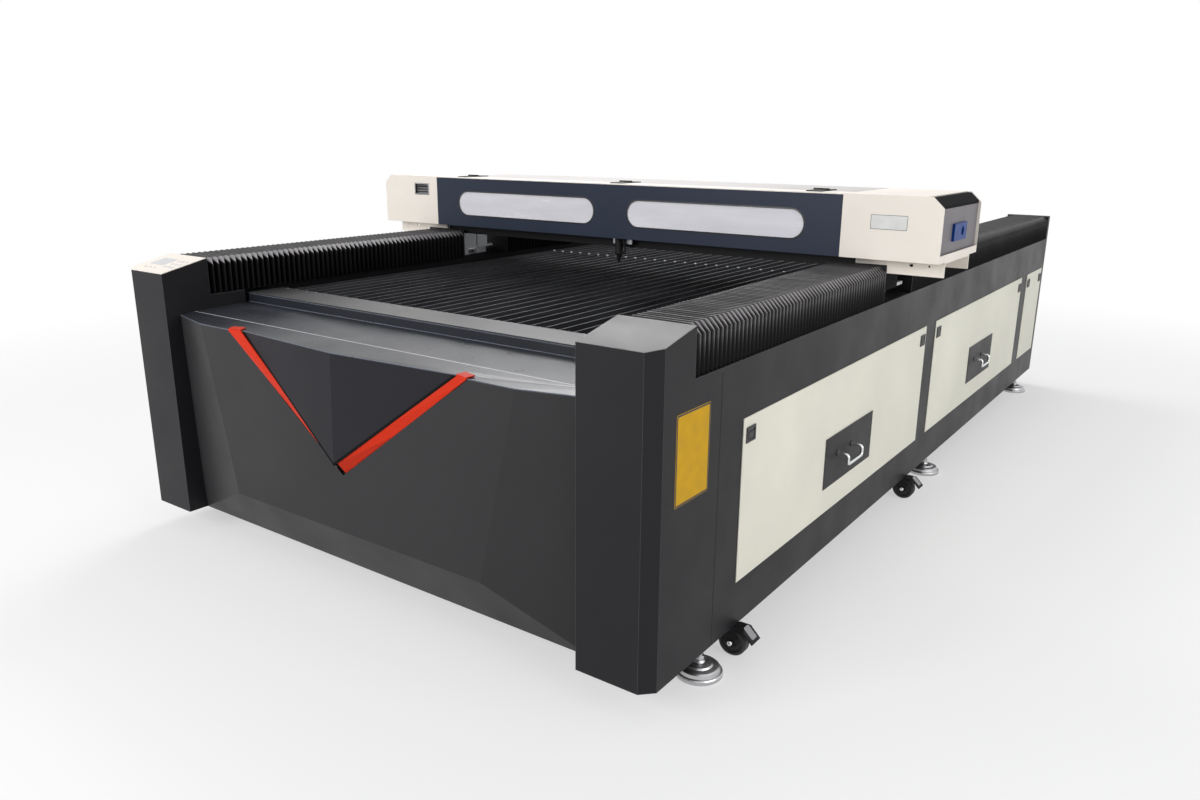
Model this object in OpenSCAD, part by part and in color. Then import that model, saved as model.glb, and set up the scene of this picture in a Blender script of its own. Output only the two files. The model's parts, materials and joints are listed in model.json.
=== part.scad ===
// Flat-bed carbon dioxide laser cutter, 1300 x 2500 mm class.
//
// Frame: +X to the right seen from the front, +Y towards the rear, +Z up. The origin is on
// the floor under the centre of the bounding box. Most stations along Y are easier to think
// of as distances behind the front face of the corner posts, so the modules are written that
// way and placed() carries them to the part's own origin.

/* [Body] */
// Width over the side skins
body_w = 1920; // [1800:10:2000]
// Length from the front face of the posts to the back of the rear panel
body_l = 3690; // [3640:10:3900]
// Height of the lower edge of the casing above the floor
skirt_z = 84; // [78:1:92]
// Height of the upper edge of the side skins
deck_z = 758; // [740:1:790]
// Thickness of the casing sheet
sheet_t = 3; // [2:0.5:4]

/* [Frame] */
// Width of the bottom tubes and of the uprights, across the machine
tube_w = 80; // [70:1:90]
// Height of the bottom tubes
tube_h = 60; // [50:1:70]
// Wall of the frame tubes
tube_wall = 4; // [3:0.5:6]
// Height of the frame's underside above the floor
frame_z = 106; // [100:1:115]
// Length of an upright along the machine
upright_l = 45; // [40:1:50]
// Width of the beams that carry the long rails
beam_w = 120; // [110:1:130]
// Height of the beams that carry the long rails
beam_h = 100; // [80:1:110]
// Root gap left for the weld where a cross tube meets an upright
weld_gap = 0.3; // [0.2:0.1:0.5]

/* [Corner posts] */
// Width of a corner post
post_w = 196; // [180:1:210]
// Length of a corner post's foot, back to the seam with the side skin
post_l = 270; // [240:1:275]
// Height of a post's front edge
post_front_z = 836; // [825:1:850]
// Height of the back of a post's sloped top
post_top_z = 869; // [866:1:874]
// Length of the sloped top
post_slope_l = 150; // [130:1:170]
// Chamfer on the post's outer front corner
post_chamfer = 30; // [20:1:40]
// Gap at the seam between post and side skin
seam_gap = 0.8; // [0.5:0.1:0.9]

/* [Front fascia] */
// Sheet thickness of the fascia and of the shelf
fascia_t = 2; // [1.5:0.5:3]
// Height of the fascia's upper edge
fascia_top_z = 707; // [700:1:712]
// Height of the bend at the foot of the raised centre facet
fascia_bend_z = 213; // [200:1:230]
// Height of the bend where the side facets meet the posts
fascia_side_bend_z = 180; // [165:1:190]
// Half width of the raised centre facet at the top
facet_top_x = 595; // [560:1:620]
// Half width of the raised centre facet at the foot
facet_foot_x = 480; // [450:1:500]
// How far the fascia's foot lies behind the centre facet
fascia_foot_y = 62; // [50:1:70]
// How far the fascia's upper edge lies behind the posts at each side
fascia_side_y = 45; // [35:1:55]
// How far the centre facet's upper edge lies behind the posts' front
facet_top_y = 5; // [3:1:10]
// Half width of the folded prow at the top
prow_top_x = 410; // [380:1:430]
// Height of the prow's tip
prow_tip_z = 412; // [390:1:430]
// How far the prow's tip stands in front of the posts
prow_tip_out = 26; // [20:1:32]
// How far the top of the prow's ridge stands in front of the posts
prow_ridge_out = 12; // [8:1:16]
// How far the prow's upper corners lie behind the posts' front
prow_corner_in = 18; // [14:1:22]
// Horizontal width of an accent strip at its upper end
strip_w = 45; // [40:1:50]
// Thickness of an accent strip
strip_t = 3; // [2:0.5:4]
// Height of the bend line in the shelf
shelf_bend_z = 712; // [709:1:714]
// Distance of the bend line behind the posts' front
shelf_bend_y = 92; // [80:1:110]
// Height of the shelf's rear edge
shelf_rear_z = 716; // [715:1:722]
// Distance of the shelf's riser behind the posts' front
shelf_rear_y = 285; // [275:1:287]

/* [Bed] */
// Height of the bed's top surface
bed_z = 749; // [744:1:752]
// Thickness of the aluminium edge bars
edge_bar_t = 4; // [3:0.5:6]
// Width of the aluminium edge bars along the machine
edge_bar_w = 123; // [115:1:130]
// Clear length of the bed between the edge bars
bed_l = 2650; // [2600:10:2700]
// Pitch of the slat blades
blade_pitch = 48.5; // [44:0.5:49]
// Number of slat blades on each side of the middle one
blade_half_count = 15; // [12:1:15]
// Thickness of a slat blade
blade_t = 3; // [2:0.5:4]
// Height of a slat blade
blade_h = 55; // [45:1:60]
// Number of crossbars under the blades
crossbar_count = 5; // [4:1:6]
// Width of a crossbar along the machine
crossbar_w = 40; // [30:1:50]
// Height of a crossbar
crossbar_h = 50; // [40:1:60]
// Height of the waste pan
pan_z = 440; // [436:1:450]
// Sheet thickness of the waste pan
pan_t = 2; // [1.5:0.5:3]

/* [Side covers and drawers] */
// Height of the lower edge of the side covers
cover_z0 = 203; // [190:1:215]
// Height of the upper edge of the side covers
cover_z1 = 616; // [600:1:630]
// Thickness of a side cover
cover_t = 2; // [1.5:0.5:3]
// Width of the cover's border on the skin
cover_lap = 12; // [8:1:16]
// Width of a drawer front
drawer_front_w = 365; // [350:1:370]
// Height of a drawer front
drawer_front_h = 150; // [145:1:154]
// Height of a drawer front's lower edge
drawer_z = 279; // [276:1:284]
// Depth of a drawer's tray
tray_d = 395; // [360:5:420]
// Width of a drawer's tray
tray_w = 340; // [320:1:344]
// Height of a drawer's tray
tray_h = 120; // [110:1:124]
// Sheet thickness of a drawer
tray_t = 2; // [1.5:0.5:2.5]
// Side play of a tray in its well
tray_play = 1; // [0.6:0.2:1.4]
// Diameter of a handle's rod
handle_d = 9; // [7:0.5:12]
// Spacing of a handle's two legs
handle_w = 107; // [95:1:130]
// How far a handle stands off its drawer
handle_out = 33; // [28:1:45]
// Drop of a handle's bar below its legs
handle_drop = 28; // [24:1:50]
// How far a handle's middle lies in front of its drawer's middle
handle_shift = 37; // [0:1:40]
// Width of a cover latch along the machine
latch_w = 45; // [35:1:50]
// Height of a cover latch
latch_h = 38; // [32:1:44]
// How far a latch stands off its cover
latch_out = 3; // [2:0.5:5]

/* [Feet and casters] */
// Diameter of a levelling foot's pad
foot_d = 116; // [106:1:118]
// Diameter of a levelling foot's stud
foot_stud_d = 16; // [12:1:20]
// How far the feet's axes lie inside the casing's sides
foot_inset = 30; // [25:1:35]
// Diameter of a caster wheel
wheel_d = 75; // [70:1:78]
// Width of a caster wheel
wheel_w = 32; // [28:1:34]
// Clearance of the casters above the floor while the machine stands on its feet
wheel_lift = 2; // [1:0.5:4]
// Trail of a caster
caster_trail = 40; // [36:1:42]
// How far the caster pivots lie inside the casing's sides
caster_inset = 44; // [42:1:46]
// How far a swinging wheel reaches over the front foot's stepped pad
caster_nest = 8.5; // [0:0.5:9]
// Diameter of a caster's axle
axle_d = 10; // [8:0.5:12]

/* [Bellows] */
// Width of a bellows cover
bellows_w = 191; // [185:1:192]
// Depth of a pleat
pleat_h = 20; // [12:1:24]
// Pitch of the pleats as the gantry stands
pleat_pitch = 19; // [18:0.5:26]
// Thickness of the bellows material with its stiffener
bellows_t = 3; // [2:0.5:4]
// Clearance between a bellows' lower edge and the deck
bellows_lift = 1; // [0.5:0.5:1.5]

/* [Gantry] */
// Distance of the gantry's front face behind the posts' front
gantry_y = 1210; // [1150:10:1300]
// Depth of the gantry casing
gantry_d = 393; // [385:1:400]
// Height of the gantry casing's lower edge
gantry_z0 = 896; // [892:1:904]
// Height of the gantry casing's top
gantry_z1 = 1081; // [1077:1:1090]
// Half width of the gantry's dark middle section
middle_x = 835; // [828:1:840]
// Half width over the gantry's end caps
gantry_x = 1129; // [1122:1:1135]
// Width of the chamfer on an end cap
cap_chamfer_x = 33; // [26:1:40]
// Height of the chamfer on an end cap
cap_chamfer_z = 31; // [25:1:36]
// Height of the pale border below an end plate
cap_border = 22; // [18:1:28]
// How far the end plates lie inside the caps' rim
end_inset = 8; // [7:0.5:12]
// Width of a viewing window
window_w = 650; // [600:5:680]
// Height of a viewing window
window_h = 92; // [80:1:98]
// Distance of each window's centre from the middle plane
window_x = 394; // [385:1:400]
// Depth of the fixed strip in front of the lid
top_strip_d = 95; // [85:1:105]
// Side of the gantry beam's tube
gantry_beam_w = 100; // [90:1:104]
// Half length of the gantry beam
gantry_beam_x = 860; // [858:1:870]
// Diameter of the laser tube
laser_d = 80; // [60:1:84]
// Length of the laser tube
laser_l = 1620; // [1500:10:1640]
// Distance of the laser tube's stands from the middle plane
stand_x = 500; // [440:10:560]
// Length of a gantry carriage's plate along the machine
carriage_l = 200; // [180:5:210]
// Diameter of the lens tube
lens_d = 28; // [24:1:32]
// Radial clearance of the lens tube in its clamp
lens_fit = 0.05; // [0.02:0.01:0.09]
// Place of the cutting head along the gantry
head_x = 12; // [-40:1:40]
// Length of a lid hinge
hinge_l = 50; // [40:1:60]
// Width of one leaf of a lid hinge
hinge_leaf = 60; // [50:1:66]
// Diameter of a lid hinge's knuckle
knuckle_d = 8; // [7:0.5:9]

/* [Rear] */
// Width of the cabinet with the power supply, across the machine
cabinet_w = 660; // [500:10:700]
// Length of the cabinet along the machine
cabinet_l = 520; // [400:10:600]
// Height of the cabinet
cabinet_h = 180; // [140:10:200]
// Diameter of an exhaust spigot
spigot_d = 150; // [120:5:160]
// Length of an exhaust spigot behind the rear panel
spigot_l = 50; // [40:1:60]
// Wall of an exhaust spigot
spigot_wall = 2; // [1.5:0.5:3]

/* [Hidden] */
$fn = 48;
eps = 1;                    // how far a cutting tool runs past what it cuts

// Colours
charcoal = [0.22, 0.22, 0.24];
cream = [0.90, 0.88, 0.82];
navy = [0.12, 0.14, 0.19];
soot = [0.05, 0.05, 0.05];
alu = [0.75, 0.76, 0.78];
chrome = [0.85, 0.86, 0.88];
orange = [0.93, 0.26, 0.12];
milky = [0.86, 0.87, 0.90];

// Body and frame
half_w = body_w / 2;
skin_x = half_w - sheet_t;              // inner face of a side skin
tube_x = skin_x - tube_w;               // inner face of the bottom tubes
tube_z = frame_z + tube_h;              // top of the bottom tubes
beam_x = skin_x - beam_w;               // inner face of a rail beam
beam_z = deck_z - beam_h;               // underside of a rail beam
back_y = body_l - sheet_t;              // front face of the rear panel
post_x = half_w - post_w;               // inner face of a post
slope_angle = atan2(post_top_z - post_front_z, post_slope_l);
slope_len = norm([post_slope_l, post_top_z - post_front_z]);

// Side covers: [front edge, rear edge] of each, from the front of the machine back
covers = [[post_l + 110, body_l - 1943], [body_l - 1830, body_l - 485],
          [body_l - 368, body_l - 49]];
drawer_ys = [post_l + 806, body_l - 1139];
upright_ys = [post_l + 55 - upright_l / 2, (covers[0][1] + covers[1][0] - upright_l) / 2,
              (covers[1][1] + covers[2][0] - upright_l) / 2, back_y - upright_l];

// Bed
bed_tube_w = 100;
bed_tube_h = 100;
bed_tube_z = bed_z - edge_bar_t - bed_tube_h;
bed_tube_y0 = shelf_rear_y + fascia_t;
bed_tube_y1 = bed_tube_y0 + bed_tube_w;
bar_y0 = bed_tube_y0;
bar_y1 = bar_y0 + edge_bar_w;
rear_bar_y = bar_y1 + bed_l;
rear_tube_y = rear_bar_y + edge_bar_w - bed_tube_w;
blade_z = bed_z - edge_bar_t - blade_h;

// Waste pan and the wells that the drawers slide in
well_w = tray_w + 2 * tray_play;
tray_z = drawer_z + 5;
well_x = half_w + cover_t - tray_d - 2;
seat = 0.3;                             // gap between a moving piece and its seat at rest

// Casters and feet
foot_x = half_w - foot_inset;
caster_x = half_w - caster_inset;
foot_ys = [post_l, body_l - 1681, body_l - 192];
caster_ys = [post_l + foot_d / 2 + caster_trail + wheel_d / 2 - caster_nest, body_l - 2000];
caster_plate_t = 4;
wheel_z = wheel_lift + wheel_d / 2;
fork_z = frame_z - caster_plate_t - 4;  // top of a fork's crown, under its swivel race
axle_fit = 0.05;

// Bellows
bellows_x = skin_x + 1 - bellows_w;     // inner face of a bellows cover
bellows_z0 = deck_z + bellows_lift;

// Gantry
gantry_back = gantry_y + gantry_d;
gbeam_y = gantry_y + 90;
gbeam_z1 = gantry_z0 + 62;
gbeam_z0 = gbeam_z1 - gantry_beam_w;
hinge_y = gantry_y + top_strip_d;
hinge_z = gantry_z1 + knuckle_d / 2;
hinge_xs = [-727, 0, 727];
lid_gap = 1;
rail_x = (skin_x + post_x) / 2 + 4;
rail_w = 20;
rail_h = 18;
rail_gap = 0.4;                         // running clearance of a carriage on its rail
carriage_z = deck_z + rail_h + 14;      // underside of a carriage plate
bracket_y0 = gantry_y + 75;
bracket_y1 = gantry_y + 333;
bracket_h = 47;
front_bellows = [post_slope_l + seat, bracket_y0 - seat];
rear_bellows = [bracket_y1 + seat, body_l - 30];
bracket_t = 6;
beam_gap = 1;                           // gap round the beam where sheet metal passes it
tube_axis_y = gantry_y + 290;
tube_axis_z = gbeam_z1 + 54;
xrail_y = gbeam_y - 12;
lens_y = gantry_y + 40;
lens_z1 = gantry_z0 + 55;
nozzle_z = bed_z + 61;

// The rearmost faces are the spigots' ends and the foremost point is the prow's tip
front_y = (prow_tip_out - body_l - spigot_l) / 2;

module placed() { translate([0, front_y, 0]) children(); }

module both_sides() {
    children();
    mirror([1, 0, 0]) children();
}

// A box given by its lowest and highest corners
module span(a, b) { translate(a) cube(b - a); }

// A round rod between two heights
module rod(d, z0, z1) { translate([0, 0, z0]) cylinder(d = d, h = z1 - z0); }

// A rectangular tube along Y, open at its ends
module tube_along_y(x0, x1, y0, y1, z0, z1, wall) {
    difference() {
        span([x0, y0, z0], [x1, y1, z1]);
        span([x0 + wall, y0 - eps, z0 + wall], [x1 - wall, y1 + eps, z1 - wall]);
    }
}

module tube_along_x(x0, x1, y0, y1, z0, z1, wall) {
    difference() {
        span([x0, y0, z0], [x1, y1, z1]);
        span([x0 - eps, y0 + wall, z0 + wall], [x1 + eps, y1 - wall, z1 - wall]);
    }
}

// A folded sheet: its outer face is given by points and by faces wound clockwise as seen
// from outside, rim is the outline in the same sense, and the inner face is the outer one
// moved by the vector back. With reverse, points are those of the inner face and back leads
// from them to the outer one.
module folded_sheet(points, faces, rim, back, reverse = false) {
    n = len(points);
    outer = reverse ? [for (p = points) p + back] : points;
    inner = reverse ? points : [for (p = points) p + back];
    polyhedron(
        points = concat(outer, inner),
        faces = concat(
            faces,
            [for (f = faces) [for (i = [len(f) - 1:-1:0]) f[i] + n]],
            [for (i = [0:len(rim) - 1])
                let (a = rim[i], b = rim[(i + 1) % len(rim)]) [b, a, a + n, b + n]]));
}

// ---- frame ----

module frame_long_tubes() color(charcoal) placed() both_sides()
    tube_along_y(tube_x, skin_x, post_chamfer + sheet_t, back_y, frame_z, tube_z, tube_wall);

module frame_struts() color(charcoal) placed() {
    // uprights under the rail beams
    both_sides() for (y = upright_ys)
        difference() {
            span([tube_x, y, tube_z], [skin_x, y + upright_l, beam_z]);
            span([tube_x + tube_wall, y + tube_wall, tube_z - eps],
                 [skin_x - tube_wall, y + upright_l - tube_wall, beam_z + eps]);
        }
    // bottom cross tubes
    for (y = upright_ys)
        tube_along_x(-tube_x, tube_x, y, y + upright_l, frame_z, tube_z, tube_wall);
    // bearers of the waste pan
    for (i = [0:2])
        tube_along_x(-tube_x + weld_gap, tube_x - weld_gap, upright_ys[i],
                     upright_ys[i] + upright_l, pan_z - 40, pan_z, tube_wall);
    // cross tubes at the ends of the bed
    for (y = [bed_tube_y0, rear_tube_y])
        tube_along_x(-beam_x, beam_x, y, y + bed_tube_w, bed_tube_z,
                     bed_tube_z + bed_tube_h, tube_wall);
}

module rail_beams() color(charcoal) placed() both_sides()
    tube_along_y(beam_x, skin_x, post_l + seam_gap, back_y, beam_z, deck_z, tube_wall);

// Guide rails of the gantry, bolted along the beams
module linear_rails() color(alu) placed() both_sides()
    translate([rail_x, post_l + 3, deck_z]) rotate([-90, 0, 0])
        linear_extrude(height = body_l - post_l - 53)
            rail_profile(rail_w, rail_h);

// Section of a profile rail, standing on the line y = 0 and reaching to y = -h
module rail_profile(w, h) {
    polygon([[-w / 2, 0], [w / 2, 0], [w / 2, -h * 0.35], [w * 0.36, -h * 0.55],
             [w / 2, -h * 0.75], [w / 2, -h], [-w / 2, -h], [-w / 2, -h * 0.75],
             [-w * 0.36, -h * 0.55], [-w / 2, -h * 0.35]]);
}

// ---- casing ----

module side_skin() {
    difference() {
        span([skin_x, post_l + seam_gap, skirt_z], [half_w, back_y, deck_z]);
        for (c = covers)
            span([skin_x - eps, c[0] + cover_lap, cover_z0 + cover_lap],
                 [half_w + eps, c[1] - cover_lap, cover_z1 - cover_lap]);
    }
}

module right_side_skin() color(charcoal) placed() side_skin();
module left_side_skin() color(charcoal) placed() mirror([1, 0, 0]) side_skin();

// Rear panel with the casings that hold the bellows' ends, the deck behind the bed and the
// two exhaust spigots
module rear_panel() color(charcoal) placed() {
    spigot_z = 330;
    spigot_x = 480;
    difference() {
        union() {
            span([-half_w, back_y, skirt_z], [half_w, body_l, deck_z]);
            both_sides() {
                span([bellows_x - 2, body_l - 30 + seat, deck_z], [half_w, body_l, post_top_z + 1]);
                translate([spigot_x, back_y, spigot_z]) rotate([-90, 0, 0])
                    cylinder(d = spigot_d, h = spigot_l + sheet_t);
            }
            span([-beam_x, rear_bar_y + edge_bar_w, bed_z - edge_bar_t - sheet_t],
                 [beam_x, body_l, bed_z - edge_bar_t]);
        }
        both_sides()
            translate([spigot_x, back_y - eps, spigot_z]) rotate([-90, 0, 0])
                cylinder(d = spigot_d - 2 * spigot_wall, h = spigot_l + sheet_t + 2 * eps);
    }
}

// Side view of a post: y to the rear, z up, with all its edges moved in by t
module post_side(t) {
    rise = (post_top_z - post_front_z) / post_slope_l;
    polygon([[t, skirt_z - (t > 0 ? eps : 0)], [t, post_front_z + rise * t - t / cos(slope_angle)],
             [post_slope_l - t, post_top_z - rise * t - t / cos(slope_angle)],
             [post_slope_l - t, deck_z - t], [post_l + (t > 0 ? eps : 0), deck_z - t],
             [post_l + (t > 0 ? eps : 0), skirt_z - (t > 0 ? eps : 0)]]);
}

module post_solid(t) {
    difference() {
        translate([post_x + t, 0, 0]) rotate([90, 0, 90])
            linear_extrude(height = post_w - 2 * t) post_side(t);
        // the chamfer runs the whole height of the corner
        translate([half_w - t, t, 0]) rotate([0, 0, 45])
            cube([(post_chamfer - t * 0.6) * sqrt(2), (post_chamfer - t * 0.6) * sqrt(2),
                  4 * post_top_z], center = true);
    }
}

module front_post() {
    difference() {
        post_solid(0);
        post_solid(sheet_t);
    }
}

module right_front_post() color(charcoal) placed() front_post();
module left_front_post() color(charcoal) placed() mirror([1, 0, 0]) front_post();

// ---- fascia ----

notch_x = prow_top_x + strip_w + 1;     // half width of the notch that the prow stands in
notch_tip_z = prow_tip_z - 36;
facet_slope = facet_top_y / (fascia_top_z - fascia_bend_z);

module front_fascia() color(charcoal) placed() {
    z1 = fascia_top_z;
    tip_y = facet_slope * (notch_tip_z - fascia_bend_z);
    // 0..6 upper edge, left to right; 7..9 right side down; 10 and 11 bend; 12..14 left side
    p = [[-post_x, fascia_side_y, z1], [-facet_top_x, facet_top_y, z1],
         [-notch_x, facet_top_y, z1], [0, tip_y, notch_tip_z], [notch_x, facet_top_y, z1],
         [facet_top_x, facet_top_y, z1], [post_x, fascia_side_y, z1],
         [post_x, fascia_foot_y - 4, fascia_side_bend_z], [post_x, fascia_foot_y, skirt_z],
         [-post_x, fascia_foot_y, skirt_z], [-post_x, fascia_foot_y - 4, fascia_side_bend_z],
         [-facet_foot_x, 0, fascia_bend_z], [facet_foot_x, 0, fascia_bend_z]];
    f = [[0, 1, 11], [0, 11, 10], [1, 2, 3], [1, 3, 11], [11, 3, 12], [3, 4, 5], [3, 5, 12],
         [5, 6, 7], [5, 7, 12], [10, 11, 9], [9, 11, 12], [9, 12, 8], [8, 12, 7]];
    folded_sheet(p, f, [0, 1, 2, 3, 4, 5, 6, 7, 8, 9, 10], [0, fascia_t, 0]);
}

// Folded triangular prow with its return flanges
module fascia_prow() color(navy) placed() {
    z1 = fascia_top_z;
    ridge = [0, -prow_ridge_out, z1];
    tip = [0, -prow_tip_out, prow_tip_z];
    right = [prow_top_x, prow_corner_in, z1];
    left = [-prow_top_x, prow_corner_in, z1];
    flange_y = prow_corner_in + 14;
    folded_sheet([left, ridge, right, tip], [[0, 1, 3], [1, 2, 3]], [0, 1, 2, 3],
                 [0, fascia_t, 0]);
    // the flanges run back along the two lower edges
    both_sides() prow_flange(right, tip, flange_y);
}

module prow_flange(corner, tip, back_y) {
    inward = [-fascia_t * 1.6, 0, 0];
    a = corner;
    b = tip;
    c = [tip[0], back_y, tip[2]];
    d = [corner[0], back_y, corner[2]];
    folded_sheet([a, b, c, d], [[0, 3, 2], [0, 2, 1]], [0, 3, 2, 1], inward);
}

// Two strips that slope from the prow's flanges out to the edges of the notch, their ends
// folded over the shelf
module accent_strips() color(orange) placed() {
    both_sides() accent_strip();
}

module accent_strip() {
    z1 = fascia_top_z;
    z2 = z1 + fascia_t + seat + strip_t;
    lip = strip_t + seat;
    prow_z = function (x) prow_tip_z + (z1 - prow_tip_z) * x / prow_top_x;
    prow_y = function (x) -prow_tip_out + (prow_corner_in + prow_tip_out) * x / prow_top_x;
    notch_z = function (x) notch_tip_z + (z1 - notch_tip_z) * x / notch_x + 1.5;
    lip_y = function (x)
        prow_corner_in - (prow_corner_in - facet_top_y) * (x - prow_top_x) / (notch_x - prow_top_x);
    x0 = 6;
    xm = prow_top_x * 0.45;
    xn = notch_x * 0.45;
    x1 = prow_top_x + 3;
    x2 = notch_x - 2;
    // 0..3 inner edge upwards, 4..7 outer edge downwards
    folded_sheet([[x0, prow_y(x0) + 5, prow_z(x0)], [xm, prow_y(xm) + 2, prow_z(xm)],
                  [x1, lip_y(x1) - lip, z1], [x1, lip_y(x1) - lip, z2],
                  [x2, lip_y(x2) - lip, z2], [x2, lip_y(x2) - lip, z1],
                  [xn, facet_top_y, notch_z(xn)], [x0, facet_top_y, notch_z(x0)]],
                 [[0, 1, 6], [0, 6, 7], [1, 2, 5], [1, 5, 6], [2, 3, 4], [2, 4, 5]],
                 [0, 1, 2, 3, 4, 5, 6, 7], [0, strip_t, 0]);
    // the end folded back over the shelf's lip
    rise = 2.4;
    folded_sheet([[x1, lip_y(x1) - lip, z2], [x1 + 8, lip_y(x1) - lip + 22, z2 + rise],
                  [x2 + 8, lip_y(x2) - lip + 22, z2 + rise], [x2, lip_y(x2) - lip, z2]],
                 [[0, 1, 2], [0, 2, 3]], [0, 1, 2, 3], [0, 0, -strip_t]);
}

// Shelf in one folded sheet: lip, top and the riser up to the bed
module front_shelf() color(charcoal) placed() {
    z0 = fascia_top_z + fascia_t;
    z1 = shelf_bend_z + fascia_t;
    z2 = shelf_rear_z + fascia_t;
    y1 = shelf_bend_y;
    y2 = shelf_rear_y;
    // 0..6 front edge, left to right; 7, 8 bend; 9, 10 rear edge
    p = [[-post_x, fascia_side_y, z0], [-facet_top_x, facet_top_y, z0],
         [-prow_top_x, prow_corner_in, z0], [0, -prow_ridge_out, z0],
         [prow_top_x, prow_corner_in, z0], [facet_top_x, facet_top_y, z0],
         [post_x, fascia_side_y, z0], [post_x, y1, z1], [-post_x, y1, z1],
         [post_x, y2 + fascia_t, z2], [-post_x, y2 + fascia_t, z2],
         [-notch_x, facet_top_y, z0], [notch_x, facet_top_y, z0]];
    f = [[0, 8, 1], [1, 8, 11], [11, 8, 2], [2, 8, 3], [3, 8, 7], [3, 7, 4], [4, 7, 12],
         [12, 7, 5], [5, 7, 6], [8, 10, 9], [8, 9, 7]];
    folded_sheet(p, f, [0, 8, 10, 9, 7, 6, 5, 12, 4, 3, 2, 11, 1],
                 [0, 0, -fascia_t]);
    span([-post_x, y2, shelf_rear_z], [post_x, y2 + fascia_t, bed_z - edge_bar_t]);
}

// ---- bed ----

module bed_edge_bars() color(alu) placed()
    for (y = [bar_y0, rear_bar_y])
        span([-post_x + 2, y, bed_z - edge_bar_t], [post_x - 2, y + edge_bar_w, bed_z]);

module slat_blades() color(soot) placed()
    for (i = [-blade_half_count:blade_half_count])
        span([i * blade_pitch - blade_t / 2, bed_tube_y1, blade_z],
             [i * blade_pitch + blade_t / 2, rear_tube_y, blade_z + blade_h]);

module slat_crossbars() color(soot) placed()
    for (i = [1:crossbar_count]) {
        y = bar_y1 + i * bed_l / (crossbar_count + 1);
        span([-beam_x, y - crossbar_w / 2, blade_z - crossbar_h],
             [beam_x, y + crossbar_w / 2, blade_z]);
    }

// Sheet pan under the bed, with a well below each drop hole for a drawer to slide in
module waste_pan() color(charcoal) placed() {
    y0 = upright_ys[0] + upright_l + 5;
    y1 = upright_ys[2] + upright_l;
    difference() {
        union() {
            span([-tube_x + 5, upright_ys[0], pan_z], [tube_x - 5, y1, pan_z + pan_t]);
            for (y = drawer_ys)
                span([well_x - pan_t, y - well_w / 2 - pan_t, tray_z - seat - pan_t],
                     [skin_x, y + well_w / 2 + pan_t, pan_z]);
        }
        for (y = drawer_ys) {
            span([well_x, y - well_w / 2, tray_z - seat],
                 [skin_x + eps, y + well_w / 2, pan_z - eps]);
            span([well_x + 30, y - well_w / 2 + 25, pan_z - 2 * eps],
                 [tube_x - 25, y + well_w / 2 - 25, pan_z + pan_t + eps]);
        }
    }
}

// ---- side covers, drawers ----

module side_covers(with_drawers) {
    for (c = covers)
        difference() {
            span([half_w, c[0], cover_z0], [half_w + cover_t, c[1], cover_z1]);
            if (with_drawers)
                for (y = drawer_ys)
                    span([half_w - eps, y - well_w / 2 - 2, tray_z - 4],
                         [half_w + cover_t + eps, y + well_w / 2 + 2, tray_z + tray_h + 4]);
        }
}

module right_side_covers() color(cream) placed() side_covers(true);
module left_side_covers() color(cream) placed() mirror([1, 0, 0]) side_covers(false);

// Slam latches in the upper corners of the covers
module cover_latches() color(soot) placed() both_sides()
    for (c = covers, y = [c[0] + 36, c[1] - 36])
        translate([half_w + cover_t, y, cover_z1 - 44]) latch();

module latch() {
    difference() {
        span([0, -latch_w / 2, -latch_h / 2], [latch_out, latch_w / 2, latch_h / 2]);
        span([latch_out - 1.5, -latch_w / 2 + 6, -latch_h / 2 + 6],
             [latch_out + eps, latch_w / 2 - 6, latch_h / 2 - 6]);
    }
    span([latch_out - 1.5, -latch_w / 2 + 9, -latch_h / 2 + 9],
         [latch_out, latch_w / 2 - 9, latch_h / 2 - 13]);
}

drawer_x = half_w + cover_t + seat;     // inner face of a drawer front

module drawer(y) {
    span([drawer_x, y - drawer_front_w / 2, drawer_z],
         [drawer_x + tray_t, y + drawer_front_w / 2, drawer_z + drawer_front_h]);
    difference() {
        span([drawer_x - tray_d, y - tray_w / 2, tray_z],
             [drawer_x, y + tray_w / 2, tray_z + tray_h]);
        span([drawer_x - tray_d + tray_t, y - tray_w / 2 + tray_t, tray_z + tray_t],
             [drawer_x - tray_t, y + tray_w / 2 - tray_t, tray_z + tray_h + eps]);
    }
}

module front_drawer() color(charcoal) placed() drawer(drawer_ys[0]);
module rear_drawer() color(charcoal) placed() drawer(drawer_ys[1]);

// Bent-rod handle: two legs straight out, then down to a lower bar
module handle(y) {
    leg_z = drawer_z + 87;
    r = handle_d;                        // the bends' radius at the rod's middle
    drop = leg_z - handle_drop;
    translate([drawer_x + tray_t, y - handle_shift, 0]) {
        both_along_y() {
            translate([0, handle_w / 2, leg_z]) rotate([0, 90, 0])
                cylinder(d = handle_d, h = handle_out - r);
            translate([handle_out - r, handle_w / 2, leg_z - r]) rotate([90, 0, 0])
                rotate_extrude(angle = 90) translate([r, 0]) circle(d = handle_d);
            translate([handle_out, handle_w / 2, 0]) rod(handle_d, drop + r, leg_z - r);
            translate([handle_out, handle_w / 2 - r, drop + r]) rotate([0, 90, 0])
                rotate_extrude(angle = 90) translate([r, 0]) circle(d = handle_d);
        }
        translate([handle_out, handle_w / 2 - r, drop]) rotate([90, 0, 0])
            cylinder(d = handle_d, h = handle_w - 2 * r);
    }
}

module both_along_y() {
    children();
    mirror([0, 1, 0]) children();
}

module front_drawer_handle() color(chrome) placed() handle(drawer_ys[0]);
module rear_drawer_handle() color(chrome) placed() handle(drawer_ys[1]);

// ---- controls ----

panel_t = 2;

// The left post's sloped top: x runs outwards from the post's inner face, y up the slope
module on_left_slope() {
    translate([-post_x, 0, post_front_z]) rotate([slope_angle, 0, 0]) mirror([1, 0, 0])
        children();
}

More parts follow.
